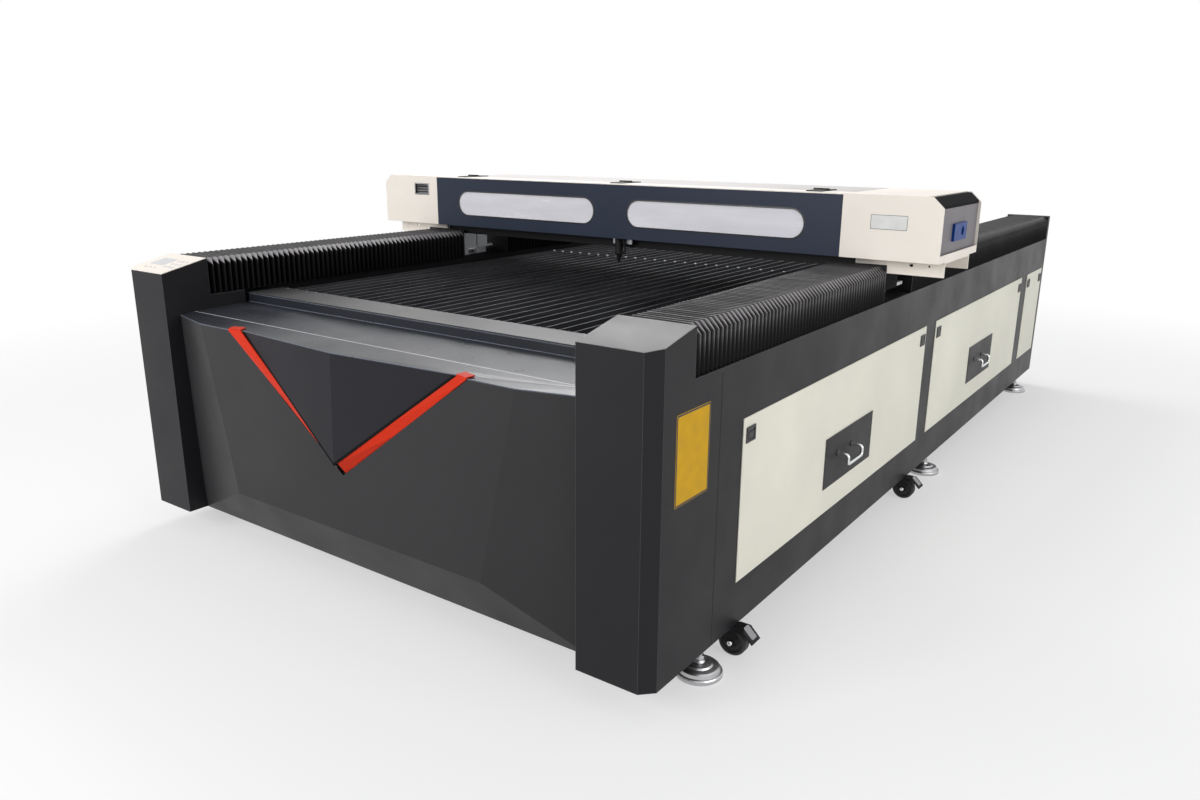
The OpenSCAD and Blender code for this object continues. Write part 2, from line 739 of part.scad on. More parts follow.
module control_panel() color(cream) placed() on_left_slope()
    linear_extrude(height = panel_t)
        polygon([[1, 1], [post_w - post_chamfer - 1, 1], [post_w - 1, post_chamfer + 1],
                 [post_w - 1, slope_len - 1], [1, slope_len - 1]]);

// Display window and keys of the control panel
module panel_controls() color([0.6, 0.62, 0.64]) placed() on_left_slope()
    translate([0, 0, panel_t]) {
        span([88, 58, 0], [158, 112, 0.8]);
        for (i = [0:2], j = [0:2])
            translate([22 + 20 * i, 52 + 24 * j, 0]) cylinder(d = 11, h = 1.2);
        for (i = [0:2])
            translate([92 + 24 * i, 34, 0]) cylinder(d = 9, h = 1.2);
    }

// ---- feet and casters ----

module levelling_feet() color(chrome) placed() both_sides() for (y = foot_ys)
    translate([foot_x, y, 0]) levelling_foot();

module levelling_foot() {
    r = foot_d / 2;
    rotate_extrude(angle = 360)
        polygon([[0, 0], [r - 2, 0], [r, 2], [r, 10], [r - 2, 13], [r - 6, 14],
                 [r - 8, 22], [r - 12, 25], [r - 24, 27], [r - 27, 31],
                 [foot_stud_d / 2 + 7, 35], [foot_stud_d / 2 + 4, 40],
                 [foot_stud_d / 2, 41], [0, 41]]);
    rod(foot_stud_d, 40, frame_z);
    translate([0, 0, 41]) cylinder(d = 24, h = 10, $fn = 6);
    translate([0, 0, frame_z - 12]) cylinder(d = 27, h = 12, $fn = 6);
}

// Plates under the bottom tubes, each with the kingpin that a fork turns on
module caster_plates() color(soot) placed() both_sides() for (y = caster_ys)
    translate([caster_x, y, 0]) {
        span([-40, -40, frame_z - caster_plate_t], [40, 40, frame_z]);
        rod(30, fork_z - 11, frame_z - caster_plate_t);
        rod(34, fork_z - 13.5, fork_z - 10.5);
    }

// Fork of a caster, with its brake pedal, seen with the trail towards +X. What stands inside
// the casing's skirt keeps within 40 mm of the pivot.
module caster_fork() {
    inside = wheel_w / 2 + 2;
    cheek = 3;
    top = wheel_z + wheel_d / 2;         // top of the wheel
    difference() {
        union() {
            rod(58, fork_z - 10, fork_z);
            span([0, -inside - cheek, fork_z - 10], [28, inside + cheek, fork_z - 6]);
            for (s = [-1, 1])
                translate([0, s * (inside + cheek / 2), 0]) rotate([90, 0, 0])
                    linear_extrude(height = cheek, center = true)
                        polygon([[-14, fork_z - 6], [30, fork_z - 6], [30, top + 5],
                                 [caster_trail + 14, top], [caster_trail + 14, wheel_z - 4],
                                 [caster_trail + 4, wheel_z - 11],
                                 [caster_trail - 8, wheel_z - 9]]);
        }
        rod(30.6, fork_z - 20, fork_z + eps);
    }
    // the axle is riveted in the cheeks
    translate([caster_trail, 0, wheel_z]) rotate([90, 0, 0])
        cylinder(d = axle_d, h = 2 * (inside + cheek) + 6, center = true);
    // brake pedal over the wheel
    rotate([90, 0, 0])
        linear_extrude(height = 2 * (inside + cheek), center = true)
            polygon([[caster_trail + 4, top + 2], [caster_trail + 32, top + 1],
                     [caster_trail + 58, wheel_z + 12], [caster_trail + 61, wheel_z + 15],
                     [caster_trail + 34, top + 5], [caster_trail + 4, top + 5]]);
}

module caster_wheel() {
    r = wheel_d / 2;
    translate([caster_trail, 0, wheel_z]) rotate([90, 0, 0])
        rotate_extrude(angle = 360)
            polygon([[axle_d / 2 + axle_fit, -wheel_w / 2], [14, -wheel_w / 2],
                     [16, -wheel_w / 2 + 5], [r - 12, -wheel_w / 2 + 5],
                     [r - 9, -wheel_w / 2], [r - 4, -wheel_w / 2], [r, -wheel_w / 2 + 6],
                     [r, wheel_w / 2 - 6], [r - 4, wheel_w / 2], [r - 9, wheel_w / 2],
                     [r - 12, wheel_w / 2 - 5], [16, wheel_w / 2 - 5], [14, wheel_w / 2],
                     [axle_d / 2 + axle_fit, wheel_w / 2]]);
}

module right_caster(i) { placed() translate([caster_x, caster_ys[i], 0]) children(); }
module left_caster(i) { mirror([1, 0, 0]) right_caster(i) children(); }

module right_front_caster_fork() color(soot) right_caster(0) caster_fork();
module left_front_caster_fork() color(soot) left_caster(0) caster_fork();
module right_mid_caster_fork() color(soot) right_caster(1) caster_fork();
module left_mid_caster_fork() color(soot) left_caster(1) caster_fork();
module right_front_caster_wheel() color(soot) right_caster(0) caster_wheel();
module left_front_caster_wheel() color(soot) left_caster(0) caster_wheel();
module right_mid_caster_wheel() color(soot) right_caster(1) caster_wheel();
module left_mid_caster_wheel() color(soot) left_caster(1) caster_wheel();

// Laser power supply and drives, on the bottom cross tubes
module power_cabinet() color(cream) placed()
    span([-cabinet_w / 2, upright_ys[1] - cabinet_l / 2, tube_z],
         [cabinet_w / 2, upright_ys[1] + cabinet_l / 2, tube_z + cabinet_h]);

// ---- bellows ----

// Pleated cover over a rail: an inverted U in section, its crests pleat_h proud of its folds
module bellows(y0, y1) {
    count = floor((y1 - y0) / pleat_pitch);
    last = 2 * count;
    step = floor(50 * (y1 - y0) / last) / 50;       // whole fiftieths keep the folds flat
    ring = function (i)
        let (y = i == last ? y1 : y0 + i * step, d = i % 2 == 0 ? 0 : pleat_h, x0 = bellows_x + d,
             x1 = skin_x + 1 - d, z1 = post_top_z - d, t = bellows_t)
        [[x0, y, bellows_z0], [x0, y, z1], [x1, y, z1], [x1, y, bellows_z0],
         [x1 - t, y, bellows_z0], [x1 - t, y, z1 - t], [x0 + t, y, z1 - t],
         [x0 + t, y, bellows_z0]];
    n = 8;
    caps = [[0, 1, 6, 7], [1, 2, 5, 6], [2, 3, 4, 5]];
    polyhedron(
        points = [for (i = [0:last]) each ring(i)],
        faces = concat(
            caps,
            [for (c = caps) [for (i = [3:-1:0]) last * n + c[i]]],
            [for (i = [0:last - 1], k = [0:n - 1])
                let (a = i * n + k, b = i * n + (k + 1) % n) [a, a + n, b + n, b]]));
}

module right_front_bellows() color(soot) placed() bellows(front_bellows[0], front_bellows[1]);
module left_front_bellows() color(soot) placed() mirror([1, 0, 0])
    bellows(front_bellows[0], front_bellows[1]);
module right_rear_bellows() color(soot) placed() bellows(rear_bellows[0], rear_bellows[1]);
module left_rear_bellows() color(soot) placed() mirror([1, 0, 0])
    bellows(rear_bellows[0], rear_bellows[1]);

// ---- gantry ----

module gantry_beam() color(soot) placed()
    tube_along_x(-gantry_beam_x, gantry_beam_x, gbeam_y, gbeam_y + gantry_beam_w, gbeam_z0,
                 gbeam_z1, 5);

module window_outline(grow) {
    h = window_h + 2 * grow;
    for (x = [-window_x, window_x])
        translate([x, (gantry_z0 + gantry_z1) / 2 - 4]) {
            square([window_w - window_h, h], center = true);
            for (s = [-1, 1])
                translate([s * (window_w - window_h) / 2, 0]) circle(d = h);
        }
}

// Front cover with two viewing windows and a return flange along its foot
module gantry_front_cover() color(navy) placed() {
    translate([0, gantry_y + sheet_t, 0]) rotate([90, 0, 0])
        linear_extrude(height = sheet_t)
            difference() {
                translate([-middle_x, gantry_z0])
                    square([2 * middle_x, gantry_z1 - sheet_t - gantry_z0]);
                window_outline(0);
            }
    span([-middle_x, gantry_y + sheet_t, gantry_z0],
         [middle_x, gantry_y + sheet_t + 18, gantry_z0 + sheet_t]);
}

module gantry_windows() color(milky) placed()
    for (x = [-window_x, window_x])
        translate([x, gantry_y + sheet_t, (gantry_z0 + gantry_z1) / 2 - 4])
            span([-window_w / 2 - 10, 0, -window_h / 2 - 10],
                 [window_w / 2 + 10, 3, window_h / 2 + 10]);

module gantry_rear_cover() color(navy) placed()
    span([-middle_x, gantry_back - sheet_t, gantry_z0],
         [middle_x, gantry_back, gantry_z1 - sheet_t]);

module gantry_top_strip() color(cream) placed() {
    span([-middle_x, gantry_y, gantry_z1 - sheet_t], [middle_x, hinge_y, gantry_z1]);
    span([-middle_x, hinge_y - sheet_t, gantry_z1 - 20], [middle_x, hinge_y, gantry_z1]);
}

// Section of an end cap seen along Y, with its edges moved in by t
module cap_profile(t) {
    polygon([[middle_x - (t > 0 ? eps : 0), gantry_z0 + t], [gantry_x - t, gantry_z0 + t],
             [gantry_x - t, gantry_z1 - cap_chamfer_z - t * 0.5],
             [gantry_x - cap_chamfer_x - t * 0.5, gantry_z1 - t],
             [middle_x - (t > 0 ? eps : 0), gantry_z1 - t]]);
}

module along_y(y0, y1) {
    translate([0, y1, 0]) rotate([90, 0, 0]) linear_extrude(height = y1 - y0) children();
}

module end_cap() {
    difference() {
        along_y(gantry_y, gantry_back) cap_profile(0);
        along_y(gantry_y + sheet_t, gantry_back - sheet_t) cap_profile(sheet_t);
        // the end is open above its border, for the end plate
        along_y(gantry_y + sheet_t, gantry_back - sheet_t)
            polygon([[gantry_x - cap_chamfer_x - 14, gantry_z0 + cap_border],
                     [gantry_x + eps, gantry_z0 + cap_border], [gantry_x + eps, gantry_z1 + eps],
                     [gantry_x - cap_chamfer_x - 14, gantry_z1 + eps]]);
        // the beam's end stands in a slot in the floor
        span([middle_x - eps, gbeam_y - beam_gap, gantry_z0 - eps],
             [gantry_beam_x + beam_gap, gbeam_y + gantry_beam_w + beam_gap,
              gantry_z0 + sheet_t + eps]);
    }
}

module right_end_cap() color(cream) placed() end_cap();
module left_end_cap() color(cream) placed() mirror([1, 0, 0]) difference() {
    end_cap();
    // ventilation slot in the front of the left cap
    span([gantry_x - 248, gantry_y - eps, gantry_z0 + 113],
         [gantry_x - 171, gantry_y + sheet_t + eps, gantry_z0 + 156]);
}

// Folded plates that close the caps' ends, standing a little inside their rims
module gantry_end_plates() color(charcoal) placed() both_sides()
    along_y(gantry_y + sheet_t + seat, gantry_back - sheet_t - seat) {
        x1 = gantry_x - end_inset;
        x0 = gantry_x - cap_chamfer_x - 13.5;
        k = cap_chamfer_z / cap_chamfer_x;
        drop = end_inset * 0.35;
        ztop = gantry_z1 - drop;
        xc = gantry_x - cap_chamfer_x;
        zc = ztop - k * (x1 - xc);
        polygon([[x1, gantry_z0 + sheet_t], [x1, zc], [xc, ztop], [x0, ztop], [x0, ztop - 2],
                 [xc - 1, ztop - 2], [x1 - 2, zc - 1], [x1 - 2, gantry_z0 + sheet_t]]);
    }

// Socket box on the right end
module service_socket() color([0.12, 0.40, 0.80]) placed()
    translate([gantry_x - end_inset, gantry_y + 190, gantry_z0 + 79]) difference() {
        span([0, -63, -25], [end_inset, 63, 25]);
        translate([-eps, 20, 0]) rotate([0, 90, 0]) cylinder(d = 26, h = 3 * end_inset);
    }

// Inverted channels between beam, caps and carriages, each with a plate down its outer side
module gantry_brackets() color(cream) placed() both_sides() {
    x0 = gantry_beam_x;
    x1 = gantry_x - 4;
    z0 = gantry_z0 - bracket_h;
    difference() {
        union() {
            span([x0, bracket_y0, gantry_z0 - bracket_t], [x1, bracket_y1, gantry_z0]);
            for (y = [bracket_y0, bracket_y1 - bracket_t])
                span([x0, y, z0], [x1, y + bracket_t, gantry_z0]);
        }
        for (x = [x1 - 96, x1 - 44])
            translate([x, bracket_y0 - eps, gantry_z0 - 17]) rotate([-90, 0, 0])
                cylinder(d = x < x1 - 90 ? 12 : 7, h = bracket_y1 - bracket_y0 + 2 * eps);
    }
    span([carriage_x1, bracket_y0 + bracket_t, carriage_z],
         [carriage_x1 + bracket_t, bracket_y0 + 145, gantry_z0 - bracket_t]);
}

carriage_x0 = rail_x - 55;
carriage_x1 = skin_x - 17;

// Carriages: plate, pedestal under the beam, two slide blocks and the drive motor
module gantry_carriages() color(alu) placed() both_sides() {
    y0 = gbeam_y;
    y1 = gbeam_y + carriage_l;
    span([carriage_x0, y0, carriage_z], [carriage_x1, y1, carriage_z + 10]);
    span([carriage_x0, y0, carriage_z + 10], [carriage_x0 + 40, y0 + gantry_beam_w, gbeam_z0]);
    for (y = [y0 + 15, y1 - 75])
        difference() {
            span([rail_x - 30, y, deck_z + 5], [rail_x + 30, y + 60, carriage_z]);
            span([rail_x - rail_w / 2 - rail_gap, y - eps, deck_z],
                 [rail_x + rail_w / 2 + rail_gap, y + 60 + eps, deck_z + rail_h + rail_gap]);
        }
    // motor standing on the plate behind the beam
    span([carriage_x0, y0 + gantry_beam_w + 5, carriage_z + 10],
         [carriage_x0 + 60, y0 + gantry_beam_w + 65, carriage_z + 80]);
}

module x_rail() color(alu) placed()
    translate([-middle_x + 20, xrail_y, (gbeam_z0 + gbeam_z1) / 2 - 6])
        cube([2 * middle_x - 40, 12, 12]);

// Glass laser tube with its two end caps
module laser_tube() color([0.80, 0.86, 0.90]) placed()
    translate([0, tube_axis_y, tube_axis_z]) rotate([0, 90, 0]) {
        cylinder(d = laser_d, h = laser_l - 80, center = true);
        for (s = [-1, 1])
            translate([0, 0, s * (laser_l - 40) / 2]) cylinder(d = 46, h = 40, center = true);
    }

// Tube stands on the beam, and the two beam-bending mirrors in the left end cap
module tube_mounts() color(alu) placed() {
    for (x = [-stand_x, stand_x])
        difference() {
            union() {
                span([x - 15, gbeam_y, gbeam_z1], [x + 15, tube_axis_y + 40, gbeam_z1 + 8]);
                span([x - 15, tube_axis_y - 48, gbeam_z1], [x + 15, tube_axis_y + 48, tube_axis_z]);
                translate([x - 15, tube_axis_y, tube_axis_z]) rotate([0, 90, 0])
                    cylinder(d = 96, h = 30);
            }
            translate([x - 20, tube_axis_y, tube_axis_z]) rotate([0, 90, 0])
                cylinder(d = laser_d + 2 * lens_fit, h = 40);
        }
    for (y = [tube_axis_y, lens_y])
        translate([-middle_x - 65, y, 0]) {
            span([-20, -10, gantry_z0 + sheet_t], [20, 10, tube_axis_z - 20]);
            translate([0, 0, tube_axis_z]) rotate([90, 0, 45]) cylinder(d = 44, h = 8);
        }
}

// Fixed leaves of the lid hinges, with the outer knuckles and the pins
module lid_hinge_bases() color(soot) placed() for (x = hinge_xs)
    translate([x, hinge_y, 0]) {
        span([-hinge_l / 2, -hinge_leaf, gantry_z1], [hinge_l / 2, -knuckle_d / 2 - 1, gantry_z1 + 3]);
        for (s = [-1, 1])
            translate([s * hinge_l * 0.35, 0, 0]) {
                span([-hinge_l * 0.15, -knuckle_d / 2 - 1, gantry_z1],
                     [hinge_l * 0.15, 0, gantry_z1 + 3]);
                translate([-hinge_l * 0.15, 0, hinge_z]) rotate([0, 90, 0])
                    cylinder(d = knuckle_d, h = hinge_l * 0.3);
            }
        translate([-hinge_l / 2, 0, hinge_z]) rotate([0, 90, 0])
            cylinder(d = 4, h = hinge_l);
    }

module lid_hinge_leaves() color(soot) placed() for (x = hinge_xs)
    translate([x, hinge_y, 0]) difference() {
        union() {
            span([-hinge_l / 2, knuckle_d / 2 + 1, gantry_z1], [hinge_l / 2, hinge_leaf, gantry_z1 + 3]);
            span([-hinge_l * 0.19, 0, gantry_z1], [hinge_l * 0.19, knuckle_d / 2 + 1, gantry_z1 + 3]);
            translate([-hinge_l * 0.19, 0, hinge_z]) rotate([0, 90, 0])
                cylinder(d = knuckle_d, h = hinge_l * 0.38);
        }
        translate([-hinge_l, 0, hinge_z]) rotate([0, 90, 0])
            cylinder(d = 4 + 2 * lens_fit, h = 2 * hinge_l);
    }

module gantry_lid() color(cream) placed() {
    span([-middle_x + 2, hinge_y + lid_gap, gantry_z1 - sheet_t],
         [middle_x - 2, gantry_back, gantry_z1]);
    span([-middle_x + 2, hinge_y + lid_gap, gantry_z1 - 18],
         [middle_x - 2, hinge_y + lid_gap + 2, gantry_z1]);
}

// ---- cutting head ----

module head_carriage() color(alu) placed() translate([head_x, 0, 0]) {
    zr = (gbeam_z0 + gbeam_z1) / 2;
    plate_y = xrail_y - 16;
    difference() {
        union() {
            // slide block and its face plate
            span([-35, plate_y + 8, zr - 18], [35, xrail_y + 9, zr + 18]);
            span([-40, plate_y, gbeam_z0 + 14], [40, plate_y + 8, gbeam_z1 + 70]);
            // clamp round the lens tube
            span([-22, lens_y - 20, lens_z1 - 34], [22, plate_y, lens_z1 - 14]);
        }
        span([-36, xrail_y - rail_gap, zr - 6 - rail_gap],
             [36, xrail_y + 12 + rail_gap, zr + 6 + rail_gap]);
        translate([0, lens_y, 0]) rod(lens_d + 2 * lens_fit, lens_z1 - 60, lens_z1);
    }
    // mirror housing above the lens tube
    span([-22, lens_y - 20, gbeam_z1 + 27], [22, plate_y, gbeam_z1 + 70]);
}

// Lens tube with its nozzle; it slides in the clamp to set the focus
module lens_tube() color(soot) placed() translate([head_x, lens_y, 0]) {
    rod(lens_d, nozzle_z + 42, lens_z1 + 8);
    translate([0, 0, nozzle_z]) rotate_extrude(angle = 360)
        polygon([[1.5, 0], [4, 0], [lens_d / 2 - 3, 26], [lens_d / 2, 30], [lens_d / 2, 42],
                 [1.5, 42]]);
    // air inlet elbow
    translate([0, 0, nozzle_z + 34]) rotate([0, 90, 0]) cylinder(d = 9, h = 26);
    translate([26, 0, 0]) rod(7, nozzle_z + 30, nozzle_z + 60);
}

frame_long_tubes();
frame_struts();
rail_beams();
linear_rails();
right_side_skin();
left_side_skin();
rear_panel();
right_front_post();
left_front_post();
front_fascia();
fascia_prow();
accent_strips();
front_shelf();
bed_edge_bars();
slat_blades();
slat_crossbars();
waste_pan();
right_side_covers();
left_side_covers();
cover_latches();
control_panel();
panel_controls();
levelling_feet();
caster_plates();
power_cabinet();
right_front_bellows();
left_front_bellows();
right_rear_bellows();
left_rear_bellows();
front_drawer();
rear_drawer();
front_drawer_handle();
rear_drawer_handle();
gantry_beam();
gantry_front_cover();
gantry_windows();
gantry_rear_cover();
gantry_top_strip();
left_end_cap();
right_end_cap();
gantry_end_plates();
service_socket();
gantry_brackets();
gantry_carriages();
x_rail();
laser_tube();
tube_mounts();
lid_hinge_bases();
gantry_lid();
lid_hinge_leaves();
head_carriage();
lens_tube();
right_front_caster_fork();
right_front_caster_wheel();
left_front_caster_fork();
left_front_caster_wheel();
right_mid_caster_fork();
right_mid_caster_wheel();
left_mid_caster_fork();
left_mid_caster_wheel();
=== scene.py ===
# %% [markdown]
# # A carbon dioxide laser cutter in cells
#
# The machine is a long box of folded sheet steel. A gantry with the laser tube rides along it
# on two rails, and pleated covers keep dust off those rails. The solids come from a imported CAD
# model, and this file gives them their looks: finishes for the painted, ground and moulded
# parts, and new meshes for what folds or is too small for the CAD model.

# %% Load the frame
import json
import math

import bmesh
import bpy
from mathutils import Matrix, Vector


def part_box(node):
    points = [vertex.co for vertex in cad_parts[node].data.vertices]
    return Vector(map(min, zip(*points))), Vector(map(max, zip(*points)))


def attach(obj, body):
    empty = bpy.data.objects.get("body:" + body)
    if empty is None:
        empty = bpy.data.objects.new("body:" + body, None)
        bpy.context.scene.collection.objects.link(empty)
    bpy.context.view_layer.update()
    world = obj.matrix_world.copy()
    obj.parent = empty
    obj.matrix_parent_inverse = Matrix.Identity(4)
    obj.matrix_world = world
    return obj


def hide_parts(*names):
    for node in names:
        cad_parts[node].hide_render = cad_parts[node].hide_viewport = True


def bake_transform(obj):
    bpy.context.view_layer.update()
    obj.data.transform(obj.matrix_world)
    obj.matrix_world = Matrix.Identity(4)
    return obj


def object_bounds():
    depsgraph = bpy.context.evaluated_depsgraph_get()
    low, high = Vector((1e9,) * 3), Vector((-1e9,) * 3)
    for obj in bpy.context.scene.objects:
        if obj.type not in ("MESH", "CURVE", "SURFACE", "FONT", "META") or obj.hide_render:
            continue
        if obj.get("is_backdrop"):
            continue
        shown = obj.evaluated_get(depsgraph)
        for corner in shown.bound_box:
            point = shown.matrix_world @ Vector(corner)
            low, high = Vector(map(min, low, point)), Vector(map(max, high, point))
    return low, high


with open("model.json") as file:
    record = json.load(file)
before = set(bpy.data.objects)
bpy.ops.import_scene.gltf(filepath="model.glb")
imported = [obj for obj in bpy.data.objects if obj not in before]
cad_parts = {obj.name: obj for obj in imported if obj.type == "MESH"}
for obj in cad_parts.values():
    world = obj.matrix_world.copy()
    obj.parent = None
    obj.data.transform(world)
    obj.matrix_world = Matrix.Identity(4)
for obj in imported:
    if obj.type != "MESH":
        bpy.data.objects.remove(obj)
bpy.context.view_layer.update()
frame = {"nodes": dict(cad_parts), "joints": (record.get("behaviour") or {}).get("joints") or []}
nodes = frame["nodes"]

# %% [markdown]
# ## The camera
#
# The machine is seen from its front right corner, from about chest height, with a wide lens.
# A camera object can be turned with Euler angles, but building its matrix from the direction
# it looks in keeps the small roll separate and easy to read.

# %% Camera
EYE = Vector((1.8704, -3.3205, 1.2341))
yaw, pitch, roll = (math.radians(a) for a in (35.5, -15.84, 0.41))
camera = bpy.data.objects.new("camera", bpy.data.cameras.new("camera"))
bpy.context.scene.collection.objects.link(camera)
camera.data.sensor_width = 36.0
camera.data.lens = 27.78
camera.matrix_world = (
    Matrix.Translation(EYE)
    @ Matrix.Rotation(yaw, 4, "Z")
    @ Matrix.Rotation(math.pi / 2 + pitch, 4, "X")
    @ Matrix.Rotation(roll, 4, "Z")
)
bpy.context.scene.camera = camera
print("camera at", tuple(round(v, 3) for v in EYE), "lens", camera.data.lens, "mm")

# %% [markdown]
# ## Helpers for light and floor
#
# The hall round the machine is seen as plain white, by the lens and in polished metal, but that
# white must give no light of its own to the machine. A Light Path node tells the two apart.
# World and floor both need it, so it is made in a helper. The other helper adds any shader node
# and sets its values in one line.

# %% Helpers for shader nodes
def shader_node(tree, kind, **values):
    """Adds a node; values are its properties or the values of its input sockets."""
    node = tree.nodes.new(kind)
    for key, value in values.items():
        if hasattr(node, key):
            setattr(node, key, value)
        else:
            node.inputs[key.replace("_", " ")].default_value = value
    return node


def seen_directly(tree):
    """A socket that is 1 for camera, glossy and transmission rays and 0 for the rest."""
    path = shader_node(tree, "ShaderNodeLightPath")
    first = shader_node(tree, "ShaderNodeMath", operation="MAXIMUM")
    both = shader_node(tree, "ShaderNodeMath", operation="MAXIMUM")
    tree.links.new(path.outputs["Is Camera Ray"], first.inputs[0])
    tree.links.new(path.outputs["Is Glossy Ray"], first.inputs[1])
    tree.links.new(first.outputs[0], both.inputs[0])
    tree.links.new(path.outputs["Is Transmission Ray"], both.inputs[1])
    return both.outputs[0]


print("helpers for shader nodes are ready")

# %% [markdown]
# ## The hall
#
# The air of a bright hall gives a weak, slightly blue light from all sides. An image of a hall
# could do this too, but even light shows the paint as it is. The strength is low, because the
# lamps below give the direction.

# %% World
HALL_STRENGTH = 0.355
world = bpy.data.worlds.new("hall")
bpy.context.scene.world = world
world.use_nodes = True
sky = world.node_tree
sky.nodes.clear()
hall_light = shader_node(sky, "ShaderNodeBackground", Color=(0.96, 0.97, 1.0, 1),
                         Strength=HALL_STRENGTH)
hall_white = shader_node(sky, "ShaderNodeBackground", Color=(1, 1, 1, 1), Strength=1.0)
hall_mix = shader_node(sky, "ShaderNodeMixShader")
sky_out = shader_node(sky, "ShaderNodeOutputWorld")
sky.links.new(seen_directly(sky), hall_mix.inputs[0])
sky.links.new(hall_light.outputs[0], hall_mix.inputs[1])
sky.links.new(hall_white.outputs[0], hall_mix.inputs[2])
sky.links.new(hall_mix.outputs[0], sky_out.inputs[0])
print("hall light:", HALL_STRENGTH)

# %% [markdown]
# ## The floor
#
# The machine stands on a pale floor that takes its shadow. The floor turns to plain white with
# distance, so that it has no edge. A backdrop with a bend would do the same from one side, but
# a wide disc works from every side.

# %% Floor disc
FLOOR_RADIUS = 60
floor_mesh = bmesh.new()
bmesh.ops.create_circle(floor_mesh, cap_ends=True, segments=64, radius=FLOOR_RADIUS)
floor = bpy.data.objects.new("floor", bpy.data.meshes.new("floor"))
floor_mesh.to_mesh(floor.data)
floor_mesh.free()
bpy.context.scene.collection.objects.link(floor)
floor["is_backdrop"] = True
print("floor of radius", FLOOR_RADIUS, "m")

# %% Floor finish
FADE_START, FADE_END = 1.6, 5.0        # metres from the middle
NEAR_WHITE = 0.5                       # share of plain white under the machine
floor_paint = bpy.data.materials.new("pale_floor")
floor_paint.use_nodes = True
tree = floor_paint.node_tree
tree.nodes.clear()
matt = shader_node(tree, "ShaderNodeBsdfDiffuse", Color=(0.90, 0.90, 0.90, 1))
white = shader_node(tree, "ShaderNodeEmission", Color=(1, 1, 1, 1), Strength=1.0)
place = shader_node(tree, "ShaderNodeTexCoord")
far = shader_node(tree, "ShaderNodeVectorMath", operation="LENGTH")
fade = shader_node(tree, "ShaderNodeMapRange", interpolation_type="SMOOTHSTEP")
fade.inputs["From Min"].default_value = FADE_START
fade.inputs["From Max"].default_value = FADE_END
fade.inputs["To Min"].default_value = NEAR_WHITE
shown = shader_node(tree, "ShaderNodeMath", operation="MULTIPLY")
mix = shader_node(tree, "ShaderNodeMixShader")
out = shader_node(tree, "ShaderNodeOutputMaterial")
tree.links.new(place.outputs["Object"], far.inputs[0])
tree.links.new(far.outputs["Value"], fade.inputs["Value"])
tree.links.new(fade.outputs["Result"], shown.inputs[0])
tree.links.new(seen_directly(tree), shown.inputs[1])
tree.links.new(shown.outputs[0], mix.inputs[0])
tree.links.new(matt.outputs[0], mix.inputs[1])
tree.links.new(white.outputs[0], mix.inputs[2])
tree.links.new(mix.outputs[0], out.inputs[0])
floor.data.materials.append(floor_paint)
print("floor fades to white from", FADE_START, "to", FADE_END, "m")

# %% [markdown]
# ## The lamps
#
# Five soft area lamps stand in for the hall. A faint ceiling, two lamps behind the machine that
# make the tops of the sheets brighter than their fronts, one far in front for the fascia, and a
# large one on the right for the doors. Each lamp looks at a point on the machine, which is
# easier to plan than its angles.

# %% Lamps
def soft_lamp(name, place, target, width, height, watts):
    """An area lamp at place that looks at target."""
    lamp = bpy.data.lights.new(name, "AREA")
    lamp.shape = "RECTANGLE"
    lamp.size, lamp.size_y, lamp.energy = width, height, watts
    holder = bpy.data.objects.new(name, lamp)
    holder.location = place
    holder.rotation_euler = (Vector(target) - Vector(place)).to_track_quat("-Z", "Y").to_euler()
    bpy.context.scene.collection.objects.link(holder)


soft_lamp("ceiling", (0.6, -0.6, 4.8), (0, 0, 0.6), 6.0, 6.0, 10)
soft_lamp("back_left", (-1.9, 1.7, 3.6), (0.5, -1.2, 0.8), 2.2, 1.8, 100)
soft_lamp("back_centre", (-0.2, 2.3, 4.6), (-0.7, -0.8, 0.8), 1.4, 1.4, 36)
soft_lamp("front", (-0.8, -6.0, 2.5), (0.2, -1.2, 0.6), 3.0, 2.2, 166)
soft_lamp("right_side", (5.4, -1.6, 2.4), (0.9, -0.2, 0.4), 4.5, 2.4, 90)
bpy.context.scene.view_settings.view_transform = "Standard"

# %% [markdown]
# ## Powder coat
#
# Sheet-steel machines are powder coated, and no coat is quite even. Pictures of real paint
# could be wrapped round the sheets, but noise needs no unwrapping and has no seams. Noise gives
# numbers from 0 to 1 that mostly lie in the middle, so the helpers stretch that middle over two
# colours or two numbers.

# %% A new finish
def finish(name):
    """A new material with its node tree and its Principled shader."""
    made = bpy.data.materials.new(name)
    made.use_nodes = True
    return made, made.node_tree, made.node_tree.nodes["Principled BSDF"]


print("a new material starts with a Principled shader")

# %% Noise
def noise(tree, scale, detail=3.0, stretch=(1, 1, 1)):
    """Noise over the machine's own coordinates, in features per metre."""
    place = shader_node(tree, "ShaderNodeTexCoord")
    grid = shader_node(tree, "ShaderNodeMapping")
    grid.inputs["Scale"].default_value = stretch
    spots = shader_node(tree, "ShaderNodeTexNoise", Scale=scale, Detail=detail)
    tree.links.new(place.outputs["Object"], grid.inputs["Vector"])
    tree.links.new(grid.outputs["Vector"], spots.inputs["Vector"])
    return spots.outputs["Fac"]


print("noise is laid out over the object in metres")

# %% Ramps and tones
NOISE_LOW, NOISE_HIGH = 0.3, 0.7       # most of a noise lies between these


def ramp(tree, fac, low, high):
    """Turns noise into a colour between low and high."""
    band = shader_node(tree, "ShaderNodeValToRGB")
    stops = band.color_ramp.elements
    stops[0].position, stops[1].position = NOISE_LOW, NOISE_HIGH
    stops[0].color, stops[1].color = (*low, 1), (*high, 1)
    tree.links.new(fac, band.inputs["Fac"])
    return band.outputs["Color"]


